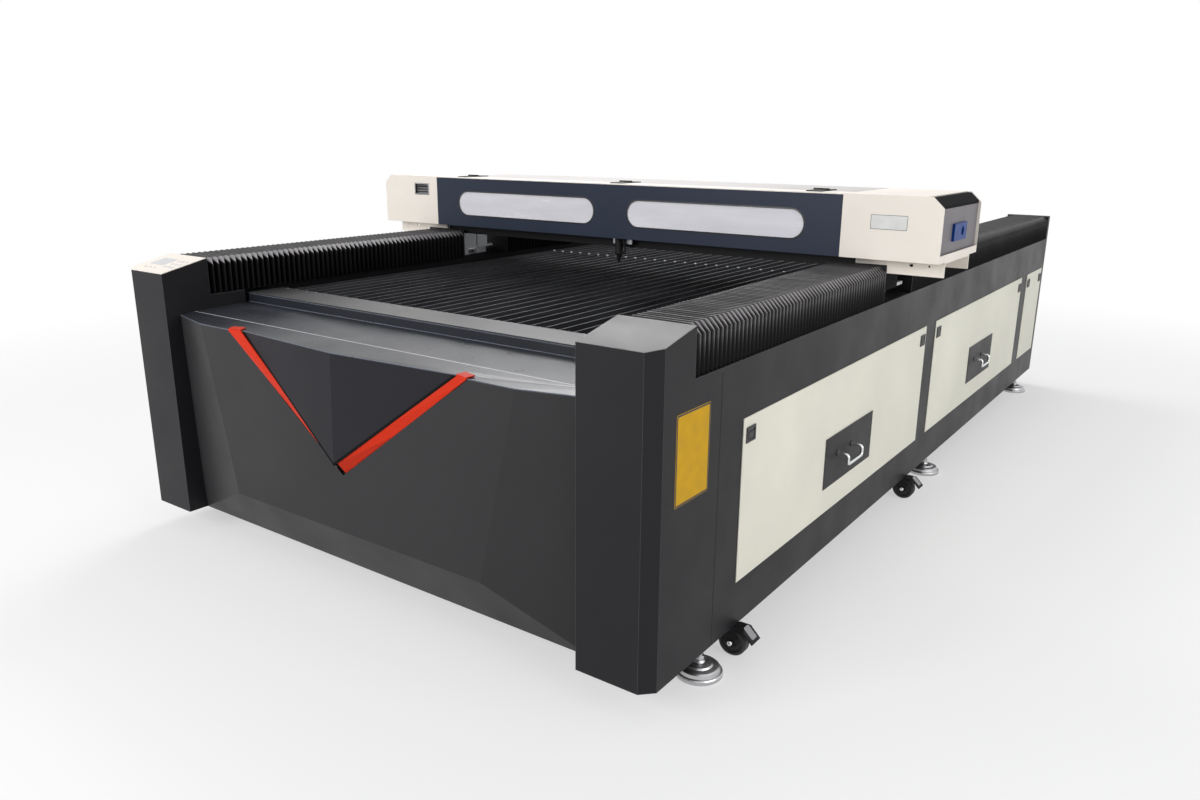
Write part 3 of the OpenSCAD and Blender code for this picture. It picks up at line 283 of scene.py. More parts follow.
def spread(tree, fac, low, high):
    """Turns noise into a number between low and high."""
    band = shader_node(tree, "ShaderNodeMapRange")
    band.inputs["From Min"].default_value = NOISE_LOW
    band.inputs["From Max"].default_value = NOISE_HIGH
    band.inputs["To Min"].default_value = low
    band.inputs["To Max"].default_value = high
    tree.links.new(fac, band.inputs["Value"])
    return band.outputs["Result"]


def tone(colour, share):
    """The same colour, lighter or darker by a share."""
    return tuple(min(1.0, c * share) for c in colour)


print("a brighter tone of mid grey:", tone((0.5, 0.5, 0.5), 1.1))

# %% [markdown]
# ## One powder coat
#
# The paint flows out into a very fine orange peel. Its edges and corners get a painted highlight,
# a paler colour where folds catch the light. Each coat is a Principled shader with two sizes of
# noise: a coarse one that shifts tone and gloss a little from place to place, and a fine one for
# the peel. The folds could be rounded in every mesh, but a Bevel node rounds them by a millimetre
# or two for all sheets at once.

# %% Powder coat finish
EDGE_START, EDGE_FULL = 0.995, 0.86    # rounded normal times flat one, where the painted edge highlight starts and is full
EDGE_HIGHLIGHT_SHARE = 0.55                      # how far the very edge turns to the colour of its painted highlight


def powder_coat(name, colour, gloss=0.42, peel=0.12, edge=0.0015, edge_highlight=1.6, shine=0.3):
    """Paint: peel is its texture, edge the width of its edges and edge_highlight how pale their
    painted highlight is.
    """
    made, tree, shader = finish(name)
    shader.inputs["Specular IOR Level"].default_value = shine
    patches = noise(tree, 2.2, 4.0)
    base = ramp(tree, patches, tone(colour, 0.93), tone(colour, 1.07))
    # Painted highlight on the folds: the rounded normal differs from the flat one there.
    rounded = shader_node(tree, "ShaderNodeBevel", samples=4, Radius=edge)
    flat = shader_node(tree, "ShaderNodeNewGeometry")
    dot = shader_node(tree, "ShaderNodeVectorMath", operation="DOT_PRODUCT")
    edge_glint = shader_node(tree, "ShaderNodeMapRange")
    edge_glint.inputs["From Min"].default_value = EDGE_START
    edge_glint.inputs["From Max"].default_value = EDGE_FULL
    edge_glint.inputs["To Max"].default_value = EDGE_HIGHLIGHT_SHARE
    blend = shader_node(tree, "ShaderNodeMix", data_type="RGBA")
    blend.inputs["B"].default_value = (*tone(colour, edge_highlight), 1)
    tree.links.new(rounded.outputs[0], dot.inputs[0])
    tree.links.new(flat.outputs["Normal"], dot.inputs[1])
    tree.links.new(dot.outputs["Value"], edge_glint.inputs["Value"])
    tree.links.new(edge_glint.outputs["Result"], blend.inputs["Factor"])
    tree.links.new(base, blend.inputs["A"])
    tree.links.new(blend.outputs["Result"], shader.inputs["Base Color"])
    dull = spread(tree, noise(tree, 7.0), gloss - 0.05, gloss + 0.06)
    tree.links.new(dull, shader.inputs["Roughness"])
    bump = shader_node(tree, "ShaderNodeBump", Strength=peel, Distance=0.0004)
    tree.links.new(noise(tree, 900.0, 2.0), bump.inputs["Height"])
    tree.links.new(rounded.outputs[0], bump.inputs["Normal"])
    tree.links.new(bump.outputs[0], shader.inputs["Normal"])
    return made


# The painted edge highlight starts and is full at these angles between the normals.
edge_angles = [round(math.degrees(math.acos(v))) for v in (EDGE_START, EDGE_FULL)]
print("paint thins out where the normals differ by", edge_angles, "degrees")

# %% [markdown]
# ## The paints of this machine
#
# The frame is charcoal and the fascia a lighter charcoal. Doors, end caps and control panel are
# cream, the gantry's long covers navy, and the prow darker still between two orange strips.
# Each could be a material made by hand, but one function makes them all, so that the paints
# differ only in tone, gloss, texture and painted edge highlight.

# %% The paints
charcoal = powder_coat("charcoal_powder_coat", (0.0155, 0.0150, 0.0170),
                       gloss=0.40, edge=0.0017, edge_highlight=15.0, shine=0.145)
fascia_charcoal = powder_coat("fascia_powder_coat", (0.0290, 0.0285, 0.0300),
                              gloss=0.42, edge=0.0017, edge_highlight=6.0, shine=0.14)
bar_charcoal = powder_coat("bed_bar_powder_coat", (0.034, 0.034, 0.036),
                           gloss=0.36, peel=0.05, edge=0.0024, edge_highlight=9.0, shine=0.42)
cream = powder_coat("cream_powder_coat", (0.86, 0.84, 0.72), gloss=0.45, edge_highlight=1.12)
cap_cream = powder_coat("gantry_cream", (0.91, 0.845, 0.765), gloss=0.42, edge_highlight=1.07)
# Painted reflection: the lid is cream paint, and its greyer colour stands for the hall it reflects.
lid_reflection_grey = powder_coat("lid_reflection_grey", (0.64, 0.615, 0.60), gloss=0.50, edge_highlight=1.1, shine=0.06)
navy = powder_coat("navy_powder_coat", (0.023, 0.031, 0.054), gloss=0.40, edge_highlight=2.2, shine=0.20)
prow_grey = powder_coat("prow_powder_coat", (0.012, 0.011, 0.015),
                        gloss=0.36, edge_highlight=5.0, shine=0.15)
flame = powder_coat("orange_powder_coat", (0.55, 0.026, 0.006), gloss=0.45, edge_highlight=1.1, shine=0.10)
soot = powder_coat("black_paint", (0.009, 0.009, 0.010), gloss=0.48, edge_highlight=2.2, shine=0.20)
coats = (charcoal, fascia_charcoal, bar_charcoal, cream, cap_cream, lid_reflection_grey, navy,
         prow_grey, flame, soot)
print(len(coats), "powder coats of", len(charcoal.node_tree.nodes), "nodes each:")
for coat in coats:
    print("  ", coat.name)

# %% [markdown]
# ## Finishes with a place of their own
#
# The shelf above the fascia is bent once along its length. A light line along that bend is a
# painted highlight, so its finish looks at the distance from the bend. The plates that close
# the ends of the gantry are a paler grey and are painted black above their fold, and the foot
# of each bracket is painted black too: both blacks are painted shade. A mask made from the
# object's coordinates puts the second tone in its place without cutting the mesh. The mask
# drives a Mix node, which goes between the first tone and the shader.

# %% Masks
BLUR = 0.0004          # half width of the change from one tone to the next


def object_axis(tree, axis):
    """The x, y or z of the point that is shaded, in metres."""
    place = shader_node(tree, "ShaderNodeTexCoord")
    split = shader_node(tree, "ShaderNodeSeparateXYZ")
    tree.links.new(place.outputs["Object"], split.inputs[0])
    return split.outputs[axis]


def beyond(tree, value, limit, sense):
    """A mask that is 1 past a limit, upwards for sense 1 and downwards for -1."""
    past = shader_node(tree, "ShaderNodeMapRange")
    past.inputs["From Min"].default_value = limit - BLUR * sense
    past.inputs["From Max"].default_value = limit + BLUR * sense
    tree.links.new(value, past.inputs["Value"])
    return past.outputs["Result"]


print("masks change over", 2000 * BLUR, "mm")

# %% Overlays
DULL = 0.85            # roughness of a surface that no light reaches


def overlay(tree, mask, colour, roughness):
    """Lays a second colour, with its own roughness, over what already feeds the shader."""
    shader = tree.nodes["Principled BSDF"]
    second = (("Base Color", "RGBA", (*colour, 1)), ("Roughness", "FLOAT", roughness))
    for socket, kind, value in second:
        below = shader.inputs[socket].links[0].from_socket
        mixed = shader_node(tree, "ShaderNodeMix", data_type=kind)
        mixed.inputs["B"].default_value = value
        tree.links.new(mask, mixed.inputs["Factor"])
        tree.links.new(below, mixed.inputs["A"])
        tree.links.new(mixed.outputs["Result"], shader.inputs[socket])


print("surfaces in the dark have a roughness of", DULL)

# %% Shelf
SHELF_BEND = 0.092     # from the front of the posts to the bend in the shelf
LINE_OUTER, LINE_INNER = 0.0026, 0.0010    # where the painted highlight along the bend starts and is palest
BEND_HIGHLIGHT_SHARE = 0.85      # how far the colour turns to that painted highlight


def shelf_coat(name, bend_y):
    """Charcoal paint with a painted highlight along a bend."""
    made = powder_coat(name, (0.022, 0.0245, 0.031),
                       gloss=0.30, peel=0.02, edge=0.0036, edge_highlight=20.0, shine=0.29)
    tree = made.node_tree
    offset = shader_node(tree, "ShaderNodeMath", operation="SUBTRACT")
    offset.inputs[1].default_value = bend_y
    tree.links.new(object_axis(tree, "Y"), offset.inputs[0])
    away = shader_node(tree, "ShaderNodeMath", operation="ABSOLUTE")
    tree.links.new(offset.outputs[0], away.inputs[0])
    line = shader_node(tree, "ShaderNodeMapRange")
    line.inputs["From Min"].default_value = LINE_OUTER
    line.inputs["From Max"].default_value = LINE_INNER
    line.inputs["To Max"].default_value = BEND_HIGHLIGHT_SHARE
    tree.links.new(away.outputs[0], line.inputs["Value"])
    # The pale line along the bend is a painted highlight.
    overlay(tree, line.outputs["Result"], (0.60, 0.61, 0.64), 0.40)
    return made


post_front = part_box("right_front_post")[0].y
shelf_bend_y = post_front + SHELF_BEND
shelf_grey = shelf_coat("shelf_powder_coat", shelf_bend_y)
print("shelf bend at y", round(shelf_bend_y, 4))

# %% End plates and brackets of the gantry
PLATE_FOLD = 0.0315    # from the top of the end plates to their fold
BRACKET_H = 0.047      # from an end cap's underside to its bracket's lower edge


def shade_past_height(name, colour, limit, sense):
    """Powder coat that is painted black past a height, as painted shade."""
    made = powder_coat(name, colour, gloss=0.40, edge_highlight=1.2, shine=0.10)
    tree = made.node_tree
    # Painted shade: past the height the coat is painted black and dull.
    overlay(tree, beyond(tree, object_axis(tree, "Z"), limit, sense), (0.004, 0.004, 0.005), DULL)
    return made


plate_fold_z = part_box("gantry_end_plates")[1].z - PLATE_FOLD
bracket_foot_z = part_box("right_end_cap")[0].z - BRACKET_H
end_plate_grey = shade_past_height("end_plate_coat", (0.20, 0.185, 0.20), plate_fold_z, 1)
bracket_cream = shade_past_height("bracket_coat", (0.91, 0.845, 0.765), bracket_foot_z, -1)
print("black above z", round(plate_fold_z, 4), "and below z", round(bracket_foot_z, 4))

# %% [markdown]
# ## The gap round the prow
#
# The lower rims of the prow lie in a gap beside the orange strips, where no light reaches, and
# so does the slot where the two strips meet. The same masks paint both black, as painted shade.
# The prow is the same on both sides, so the distance from the middle plane serves for its two
# edges.

# %% Painted shade on the rims of the prow and its strips
RIM = 0.008            # height of the prow's unlit lower rim
TIP = 0.009            # half width of the painted shade in the slot where the two strips meet
PAINTED_GAP_SHADE = (0.002, 0.002, 0.002)


def from_middle(tree):
    """Distance from the machine's middle plane, the same on both sides."""
    size = shader_node(tree, "ShaderNodeMath", operation="ABSOLUTE")
    tree.links.new(object_axis(tree, "X"), size.inputs[0])
    return size.outputs[0]


prow_low, prow_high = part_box("fascia_prow")
prow_climb = (prow_high.z - prow_low.z) / prow_high.x
tree = prow_grey.node_tree
height = shader_node(tree, "ShaderNodeMath", operation="MULTIPLY_ADD")
height.inputs[1].default_value = -prow_climb
tree.links.new(from_middle(tree), height.inputs[0])
tree.links.new(object_axis(tree, "Z"), height.inputs[2])
# Painted shade: the prow's lower rim is painted black.
overlay(tree, beyond(tree, height.outputs[0], prow_low.z + RIM, -1), PAINTED_GAP_SHADE, DULL)
tree = flame.node_tree
# Painted shade: the slot where the two strips meet is painted black.
overlay(tree, beyond(tree, from_middle(tree), TIP, -1), PAINTED_GAP_SHADE, DULL)
print("the prow's edge climbs", round(prow_climb, 3), "m for each metre outwards")

# %% [markdown]
# ## Bare metals
#
# The rails are ground steel, the carriages milled aluminium, and the drawer handles plated.
# Drawn and ground metal shows fine lines in one direction: noise stretched a hundredfold along
# the bar makes them, in both gloss and bump. Plating is nearly a mirror.

# %% Drawn metal
def drawn_metal(name, colour, gloss=0.32, along=(1.0, 160.0, 160.0), depth=0.10):
    """Metal with fine lines; they run where along is small."""
    made, tree, shader = finish(name)
    lines = noise(tree, 6.0, 6.0, stretch=along)
    base = ramp(tree, lines, tone(colour, 0.88), tone(colour, 1.08))
    tree.links.new(base, shader.inputs["Base Color"])
    shader.inputs["Metallic"].default_value = 1.0
    tree.links.new(spread(tree, lines, gloss - 0.08, gloss + 0.10), shader.inputs["Roughness"])
    bump = shader_node(tree, "ShaderNodeBump", Strength=depth, Distance=0.0002)
    tree.links.new(lines, bump.inputs["Height"])
    tree.links.new(bump.outputs[0], shader.inputs["Normal"])
    return made


print("lines run along X unless the call says otherwise")

# %% Plating
def plated(name, colour=(0.78, 0.79, 0.80), gloss=0.09):
    made, tree, shader = finish(name)
    shader.inputs["Metallic"].default_value = 1.0
    smears = noise(tree, 60.0, 4.0)
    tree.links.new(ramp(tree, smears, tone(colour, 0.9), colour), shader.inputs["Base Color"])
    tree.links.new(spread(tree, smears, gloss, gloss + 0.12), shader.inputs["Roughness"])
    return made


print("plating is smooth, with a few dull smears")

# %% The metals of this machine
rail_steel = drawn_metal("ground_rail_steel", (0.50, 0.50, 0.52), gloss=0.28, along=(160, 1, 160))
plate_aluminium = drawn_metal("milled_aluminium", (0.55, 0.56, 0.58), gloss=0.38, along=(40, 40, 2))
chrome = plated("plated_steel")
foot_zinc = drawn_metal("turned_zinc", (0.52, 0.52, 0.53),
                        gloss=0.34, along=(60, 60, 60), depth=0.05)
pedal_zinc = drawn_metal("pressed_zinc", (0.30, 0.30, 0.31),
                         gloss=0.45, along=(90, 90, 90), depth=0.05)
screw_steel = plated("bright_screws", (0.80, 0.80, 0.82), gloss=0.22)
clip_steel = drawn_metal("spring_steel_clips", (0.50, 0.50, 0.52),
                         gloss=0.34, along=(90, 90, 90), depth=0.05)
brass = plated("turned_brass", (0.70, 0.50, 0.22), gloss=0.20)
drawn = (rail_steel, plate_aluminium, foot_zinc, pedal_zinc, clip_steel)
print("drawn or milled:", [metal.name for metal in drawn])
print("plated or turned:", [metal.name for metal in (chrome, screw_steel, brass)])

# %% [markdown]
# ## Plastics, rubber and film
#
# Latches, keys and the socket are moulded plastic, which is dull and has the fine grain of its
# mould. Wheels are rubber with a coarser grain, and the blank plates are printed film with
# almost none. The grain could be in the mesh, but it is finer than any mesh, so bump makes it.

# %% Moulded plastic, rubber and film
def moulded(name, colour, gloss=0.45, grain=0.10, size=1500.0, shine=0.5):
    """Plastic: grain is the depth of its texture and size how many grains lie in a metre."""
    made, tree, shader = finish(name)
    shader.inputs["Specular IOR Level"].default_value = shine
    spots = noise(tree, 30.0, 3.0)
    base = ramp(tree, spots, tone(colour, 0.92), tone(colour, 1.06))
    tree.links.new(base, shader.inputs["Base Color"])
    tree.links.new(spread(tree, spots, gloss - 0.05, gloss + 0.07), shader.inputs["Roughness"])
    bump = shader_node(tree, "ShaderNodeBump", Strength=grain, Distance=0.0003)
    tree.links.new(noise(tree, size, 2.0), bump.inputs["Height"])
    tree.links.new(bump.outputs[0], shader.inputs["Normal"])
    return made


black_plastic = moulded("black_moulded_plastic", (0.014, 0.014, 0.015))
blue_plastic = moulded("blue_moulded_plastic", (0.004, 0.042, 0.21), gloss=0.42, shine=0.2)
key_plastic = moulded("grey_key_plastic", (0.66, 0.66, 0.67), gloss=0.5)
tread_rubber = moulded("wheel_rubber", (0.022, 0.022, 0.023), gloss=0.62, grain=0.25, size=600.0)
# Painted shadow: a dead black for pieces that stand in for dark gaps and shade.
shadow_black = moulded("painted_shadow_black", (0.003, 0.003, 0.003), gloss=0.80)
label_yellow = moulded("yellow_label_film", (0.64, 0.36, 0.012),
                       gloss=0.50, grain=0.05, shine=0.12)
label_white = moulded("pale_label_film", (0.72, 0.72, 0.70), gloss=0.40, grain=0.03)
plastics = (black_plastic, blue_plastic, key_plastic)
print("plastics:", [plastic.name for plastic in plastics])

# %% [markdown]
# ## Windows, glass and the slatted bed
#
# The gantry windows are milky acrylic, which lets light through but no clear view, so their
# transmission is weak and rough. The tube is clear glass. The bed's blades are raw steel that
# smoke has blackened unevenly: noise stretched along the blades gives such clouds, which a
# plain dark grey wouldn't have.

# %% Milky acrylic
def milky_acrylic(name):
    made, tree, shader = finish(name)
    film = noise(tree, 5.0, 5.0, stretch=(1, 1, 6))
    base = ramp(tree, film, (0.80, 0.79, 0.84), (0.90, 0.89, 0.94))
    tree.links.new(base, shader.inputs["Base Color"])
    shader.inputs["Transmission Weight"].default_value = 0.10
    tree.links.new(spread(tree, film, 0.18, 0.30), shader.inputs["Roughness"])
    shader.inputs["IOR"].default_value = 1.49
    return made


window_acrylic = milky_acrylic("milky_acrylic")
print("milky acrylic lets a tenth of the light through")

# %% Clear glass
def clear_glass(name, tint):
    made, tree, shader = finish(name)
    haze = noise(tree, 12.0, 3.0)
    tree.links.new(ramp(tree, haze, tone(tint, 0.97), tint), shader.inputs["Base Color"])
    tree.links.new(spread(tree, haze, 0.01, 0.05), shader.inputs["Roughness"])
    shader.inputs["Transmission Weight"].default_value = 0.92
    shader.inputs["IOR"].default_value = 1.47
    return made


tube_glass = clear_glass("tube_glass", (0.90, 0.95, 0.97))
print("windows and tube:", window_acrylic.name, tube_glass.name)

# %% Sooted steel
def sooted_steel(name):
    made, tree, shader = finish(name)
    smoke = noise(tree, 9.0, 6.0, stretch=(1, 0.35, 1))
    base = ramp(tree, smoke, (0.018, 0.018, 0.022), (0.060, 0.061, 0.068))
    tree.links.new(base, shader.inputs["Base Color"])
    shader.inputs["Metallic"].default_value = 0.35
    tree.links.new(spread(tree, noise(tree, 60.0, 4.0), 0.38, 0.62), shader.inputs["Roughness"])
    bump = shader_node(tree, "ShaderNodeBump", Strength=0.2, Distance=0.0004)
    tree.links.new(noise(tree, 300.0, 4.0), bump.inputs["Height"])
    tree.links.new(bump.outputs[0], shader.inputs["Normal"])
    return made


blade_steel = sooted_steel("sooted_blade_steel")
print("blades:", blade_steel.name)

# %% [markdown]
# ## Dressing the solids
#
# Most of the machine keeps its CAD solid and only gets its finish. A table from finish to
# nodes is quicker to check than sixty separate calls. A wrong name stops the loop, and the
# last line names the nodes that have no finish yet: the bellows, which cloth replaces below.

# %% Finishes by node
CORNERS = ("right_front", "left_front", "right_mid", "left_mid")
DRESS = {
    charcoal: ["frame_long_tubes", "frame_struts", "rail_beams", "right_side_skin",
               "left_side_skin", "rear_panel", "right_front_post", "left_front_post",
               "waste_pan", "front_drawer", "rear_drawer"],
    fascia_charcoal: ["front_fascia"],
    bracket_cream: ["gantry_brackets"],
    end_plate_grey: ["gantry_end_plates"],
    shelf_grey: ["front_shelf"],
    prow_grey: ["fascia_prow"],
    flame: ["accent_strips"],
    cream: ["right_side_covers", "left_side_covers", "power_cabinet"],
    cap_cream: ["left_end_cap", "right_end_cap", "gantry_top_strip", "control_panel"],
    lid_reflection_grey: ["gantry_lid"],
    navy: ["gantry_front_cover", "gantry_rear_cover"],
    soot: ["gantry_beam", "caster_plates", "lid_hinge_bases", "lid_hinge_leaves", "lens_tube",
           *(f"{corner}_caster_fork" for corner in CORNERS)],
    blade_steel: ["slat_blades", "slat_crossbars"],
    bar_charcoal: ["bed_edge_bars"],
    rail_steel: ["linear_rails", "x_rail"],
    plate_aluminium: ["gantry_carriages", "tube_mounts", "head_carriage"],
    foot_zinc: ["levelling_feet"],
    chrome: ["front_drawer_handle", "rear_drawer_handle"],
    black_plastic: ["cover_latches"],
    blue_plastic: ["service_socket"],
    key_plastic: ["panel_controls"],
    tread_rubber: [f"{corner}_caster_wheel" for corner in CORNERS],
    window_acrylic: ["gantry_windows"],
    tube_glass: ["laser_tube"],
}
print("nodes in the table:", sum(len(names) for names in DRESS.values()))

# %% Dress each node
dressed = set()
for paint, names in DRESS.items():
    for name in names:
        mesh = nodes[name].data
        mesh.materials.clear()
        mesh.materials.append(paint)
        dressed.add(name)
print("still undressed:", sorted(set(nodes) - dressed))

# %% [markdown]
# ## The cloth of the rail covers
#
# The rails are covered by black coated cloth, folded like an accordion. Its crests and corners
# get a painted highlight, a pale colour where they catch the light. That could be painted by hand
# on a map, but the cloth's own points can carry it: each keeps a number under the name
# "painted_light", and an Attribute node hands that number to the shader. A power makes the
# painted highlight die away quickly from each crest.

# %% Pleated cloth
import random

FALL_OFF = 8.0         # how fast the painted highlight dies away from a crest
CLOTH_SHINE = 0.11


def coated_cloth(name):
    """Black coated cloth with a painted highlight where its points carry one."""
    made, tree, shader = finish(name)
    weave = shader_node(tree, "ShaderNodeTexWave", Scale=420.0, Distortion=0.6,
                        wave_type="BANDS", bands_direction="X")
    place = shader_node(tree, "ShaderNodeTexCoord")
    tree.links.new(place.outputs["Object"], weave.inputs["Vector"])
    dust = noise(tree, 5.0, 5.0)
    painted_light = shader_node(tree, "ShaderNodeAttribute", attribute_name="painted_light")
    lit = shader_node(tree, "ShaderNodeMath", operation="POWER")
    lit.inputs[1].default_value = FALL_OFF
    tree.links.new(painted_light.outputs["Fac"], lit.inputs[0])
    mixed = shader_node(tree, "ShaderNodeMix", data_type="RGBA")
    tree.links.new(lit.outputs[0], mixed.inputs["Factor"])
    black = ramp(tree, dust, (0.0008, 0.0008, 0.001), (0.0024, 0.0023, 0.0024))
    # The pale colour is the painted highlight of the crests and corners.
    pale = ramp(tree, dust, (0.26, 0.25, 0.258), (0.40, 0.385, 0.395))
    tree.links.new(black, mixed.inputs["A"])
    tree.links.new(pale, mixed.inputs["B"])
    tree.links.new(mixed.outputs["Result"], shader.inputs["Base Color"])
    tree.links.new(spread(tree, dust, 0.26, 0.36), shader.inputs["Roughness"])
    shader.inputs["Specular IOR Level"].default_value = CLOTH_SHINE
    bump = shader_node(tree, "ShaderNodeBump", Strength=0.10, Distance=0.0003)
    tree.links.new(weave.outputs["Fac"], bump.inputs["Height"])
    tree.links.new(bump.outputs[0], shader.inputs["Normal"])
    return made


cover_cloth = coated_cloth("pleated_coated_cloth")
print("rub is raised to the power", FALL_OFF)

# %% [markdown]
# ## The outline of a cover
#
# Stiff plates hold the cloth in shape, and it is bent down over both sides of its rail. An
# Array of one pleat would make them all alike, so instead one outline is swept along the rail
# and breathes in and out: wide at each crest and drawn in at each fold. Where the cloth turns
# the corner it can't fold so deeply, so small flat facets form there, and they catch the light
# of the ceiling. The painted highlight is strongest at the corners, less on the crests and none
# in the folds.

# %% Sizes of the pleats
PITCH = {"right": 0.0190, "left": 0.0198}   # from crest to crest
DEPTH = 0.018          # how far the folds are drawn in at the sides
TOP_DEPTH = 0.55       # the share of that depth on top, where the cloth is stiff
CORNER = 0.022         # cut of the corner facets
FACET_DIP = 0.0025     # how far they sink between two crests
EASE = 0.004           # flat cloth beside a facet
SHOULDER = 0.014       # height of the band of painted highlight below the facets
CREST = 0.0013         # half width of a rounded crest
CREST_DIP = 0.045      # how far the fold has begun at the edge of a crest
FOLD = 0.0006          # half width of the bottom of a fold
CLOTH = 0.0012         # thickness of the cloth
CLOTH_CREASE = 38      # degrees from which a fold is drawn sharp
END_PLATE = 0.0025
print("pleats:", PITCH, "m apart,", DEPTH * 1000, "mm deep")

# %% Painted highlights of the pleats
TOP_HIGHLIGHT = 0.905                             # painted highlight of the crests on top
SIDE_HIGHLIGHT = {"right": 0.965, "left": 0.62}   # and down the sides
SHOULDER_HIGHLIGHT = 0.7                          # and at least this at the top of the sides
CORNER_HIGHLIGHT = {"right": 0.74, "left": 0.95}  # and the corner facets between two crests
HIGHLIGHT_SCALE = {"right_rear": 0.87}                # this cover gets a weaker painted highlight
# This names the cover with the weakest painted highlight.
print("rubbed least:", min(HIGHLIGHT_SCALE, key=HIGHLIGHT_SCALE.get))

# %% The outline at one station
def outline(low, high, fold, side_highlight, corner_highlight):
    """Points of the outline with the painted highlight of each; fold is 0 on a crest and 1 in a
    fold.
    """
    z0, z1 = low.z, high.z
    half = (high.x - low.x) / 2
    crest = 1.0 - fold
    top = z1 - TOP_DEPTH * DEPTH * fold
    side = half - DEPTH * fold
    facet = corner_highlight + (1.0 - corner_highlight) * crest
    dip = FACET_DIP * fold
    cut = 0.15 + 0.70 * fold                # the facet leans inwards as the fold deepens
    right = [
        (0.0, top, TOP_HIGHLIGHT * crest),
        (0.45 * half, top, TOP_HIGHLIGHT * crest),
        (half - CORNER - EASE, top, TOP_HIGHLIGHT * crest),
        (half - CORNER, z1 - dip, facet),
        (half - CORNER * cut, z1 - CORNER * (1.0 - cut) - dip, facet),
        (side, z1 - CORNER - EASE * fold, max(SHOULDER_HIGHLIGHT, side_highlight) * crest),
        (side, z1 - CORNER - SHOULDER, side_highlight * crest),
        (side, z0, 0.6 * side_highlight * crest),
    ]
    centre = (low.x + high.x) / 2
    left = [(centre - x, z, painted_light) for x, z, painted_light in reversed(right[1:])]
    return left + [(centre + x, z, painted_light) for x, z, painted_light in right]


sample = outline(Vector((-0.1, 0, 0)), Vector((0.1, 1, 0.2)), 0.0, 1.0, 1.0)
print("an outline has", len(sample), "points")

# %% [markdown]
# ## Crests and folds along the rail
#
# A pleat is a crest, a fold and a crest, each with a narrow rounded end. Five rings of points
# for a pleat are enough, where a smooth curve would need many more. No two pleats sit alike, so
# a seeded random number moves each fold and each ring a little, the same way in every run.

# %% Play of the pleats
FOLD_PLAY = (-0.08, 0.06)      # a fold's depth varies by these shares
SWAY = 0.0011                  # how far a ring leans along the rail in a slow wave
SWAY_WAVE = 31.0               # radians of that wave for a metre
SWAY_PLAY = 0.0003             # and how far by chance
print("waves of", round(2 * math.pi / SWAY_WAVE, 3), "m along the rail")

# %% Stations along the rail
def stations(y0, y1, pitch, chance):
    """Pairs of place and fold for every ring, with a little play in each fold."""
    count = round((y1 - y0) / pitch)
    pitch = (y1 - y0) / count
    rings = [(y0, 0.0)]
    for i in range(count):
        start = y0 + i * pitch
        fold = 1.0 + chance.uniform(*FOLD_PLAY)
        middle = start + pitch / 2
        rings += [(start + CREST, CREST_DIP), (middle - FOLD, fold), (middle + FOLD, fold),
                  (start + pitch - CREST, CREST_DIP), (start + pitch, 0.0)]
    return rings


print(len(stations(0.0, 1.0, PITCH["right"], random.Random(0))), "rings for a metre of cover")

# %% [markdown]
# ## From rings to a cover
#
# Neighbouring rings are joined by faces into one surface, the cloth itself, whose area and
# width say how large a flat piece it is folded from. Thickness could be drawn as a second
# surface, but Solidify makes it from the first.

# %% Baking modifiers
def apply_modifiers(piece):
    """Bakes a piece's modifiers into its mesh."""
    depsgraph = bpy.context.evaluated_depsgraph_get()
    baked = bpy.data.meshes.new_from_object(piece.evaluated_get(depsgraph))
    piece.modifiers.clear()
    piece.data = baked


# %% The folded surface
def fold_cloth(name, low, high):
    """Draws the rings of one cover in the box from low to high and joins them."""
    chance = random.Random(name)
    side = name.split("_")[0]
    highlight_scale = HIGHLIGHT_SCALE.get(name.removesuffix("_pleats"), 1.0)
    work = bmesh.new()
    pale = work.verts.layers.float.new("painted_light")
    lines = []
    for y, fold in stations(low.y + END_PLATE, high.y - END_PLATE, PITCH[side], chance):
        sway = SWAY * math.sin(SWAY_WAVE * y) + chance.uniform(-SWAY_PLAY, SWAY_PLAY)
        ring = outline(low, high, fold, SIDE_HIGHLIGHT[side], CORNER_HIGHLIGHT[side])
        middle = (len(ring) - 1) / 2
        line = []
        for k, (x, z, painted_light) in enumerate(ring):
            bow = 1.0 - abs(k - middle) / middle
            point = work.verts.new((x, min(max(y + sway * bow, low.y), high.y), z))
            point[pale] = painted_light * highlight_scale
            line.append(point)
        lines.append(line)
    for a, b in zip(lines, lines[1:]):
        for k in range(len(a) - 1):
            work.faces.new((a[k], a[k + 1], b[k + 1], b[k]))
    bmesh.ops.recalc_face_normals(work, faces=work.faces)
    return work, lines[0]


trial, first = fold_cloth("right_trial", Vector((-0.1, 0, 0)), Vector((0.1, 1, 0.2)))
print("a metre of cover has", len(trial.faces), "faces between rings of", len(first), "points")
trial.free()

# %% One cover
def pleated_cover(name, node):
    """Cloth over one rail, in the box of its CAD node."""
    low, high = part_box(node)
    work, first = fold_cloth(name, low, high)
    cloth_area = sum(face.calc_area() for face in work.faces)
    cloth_width = sum((b.co - a.co).length for a, b in zip(first, first[1:]))
    mesh = bpy.data.meshes.new(name)
    work.to_mesh(mesh)
    work.free()
    cover = bpy.data.objects.new(name, mesh)
    bpy.context.scene.collection.objects.link(cover)
    mesh.materials.append(cover_cloth)
    thick = cover.modifiers.new("cloth", "SOLIDIFY")
    thick.thickness = CLOTH
    top = max(mesh.polygons, key=lambda face: face.center.z)
    thick.offset = -1 if top.normal.z > 0 else 1
    apply_modifiers(cover)
    cover.data.shade_smooth()
    cover.data.set_sharp_from_angle(angle=math.radians(CLOTH_CREASE))
    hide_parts(node)
    size = round(cloth_width, 3), round(cloth_area / cloth_width, 2)
    print(name, "is cut from", size, "m of cloth")
    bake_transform(cover)
    return cover


print("folds sharper than", CLOTH_CREASE, "degrees stay sharp")

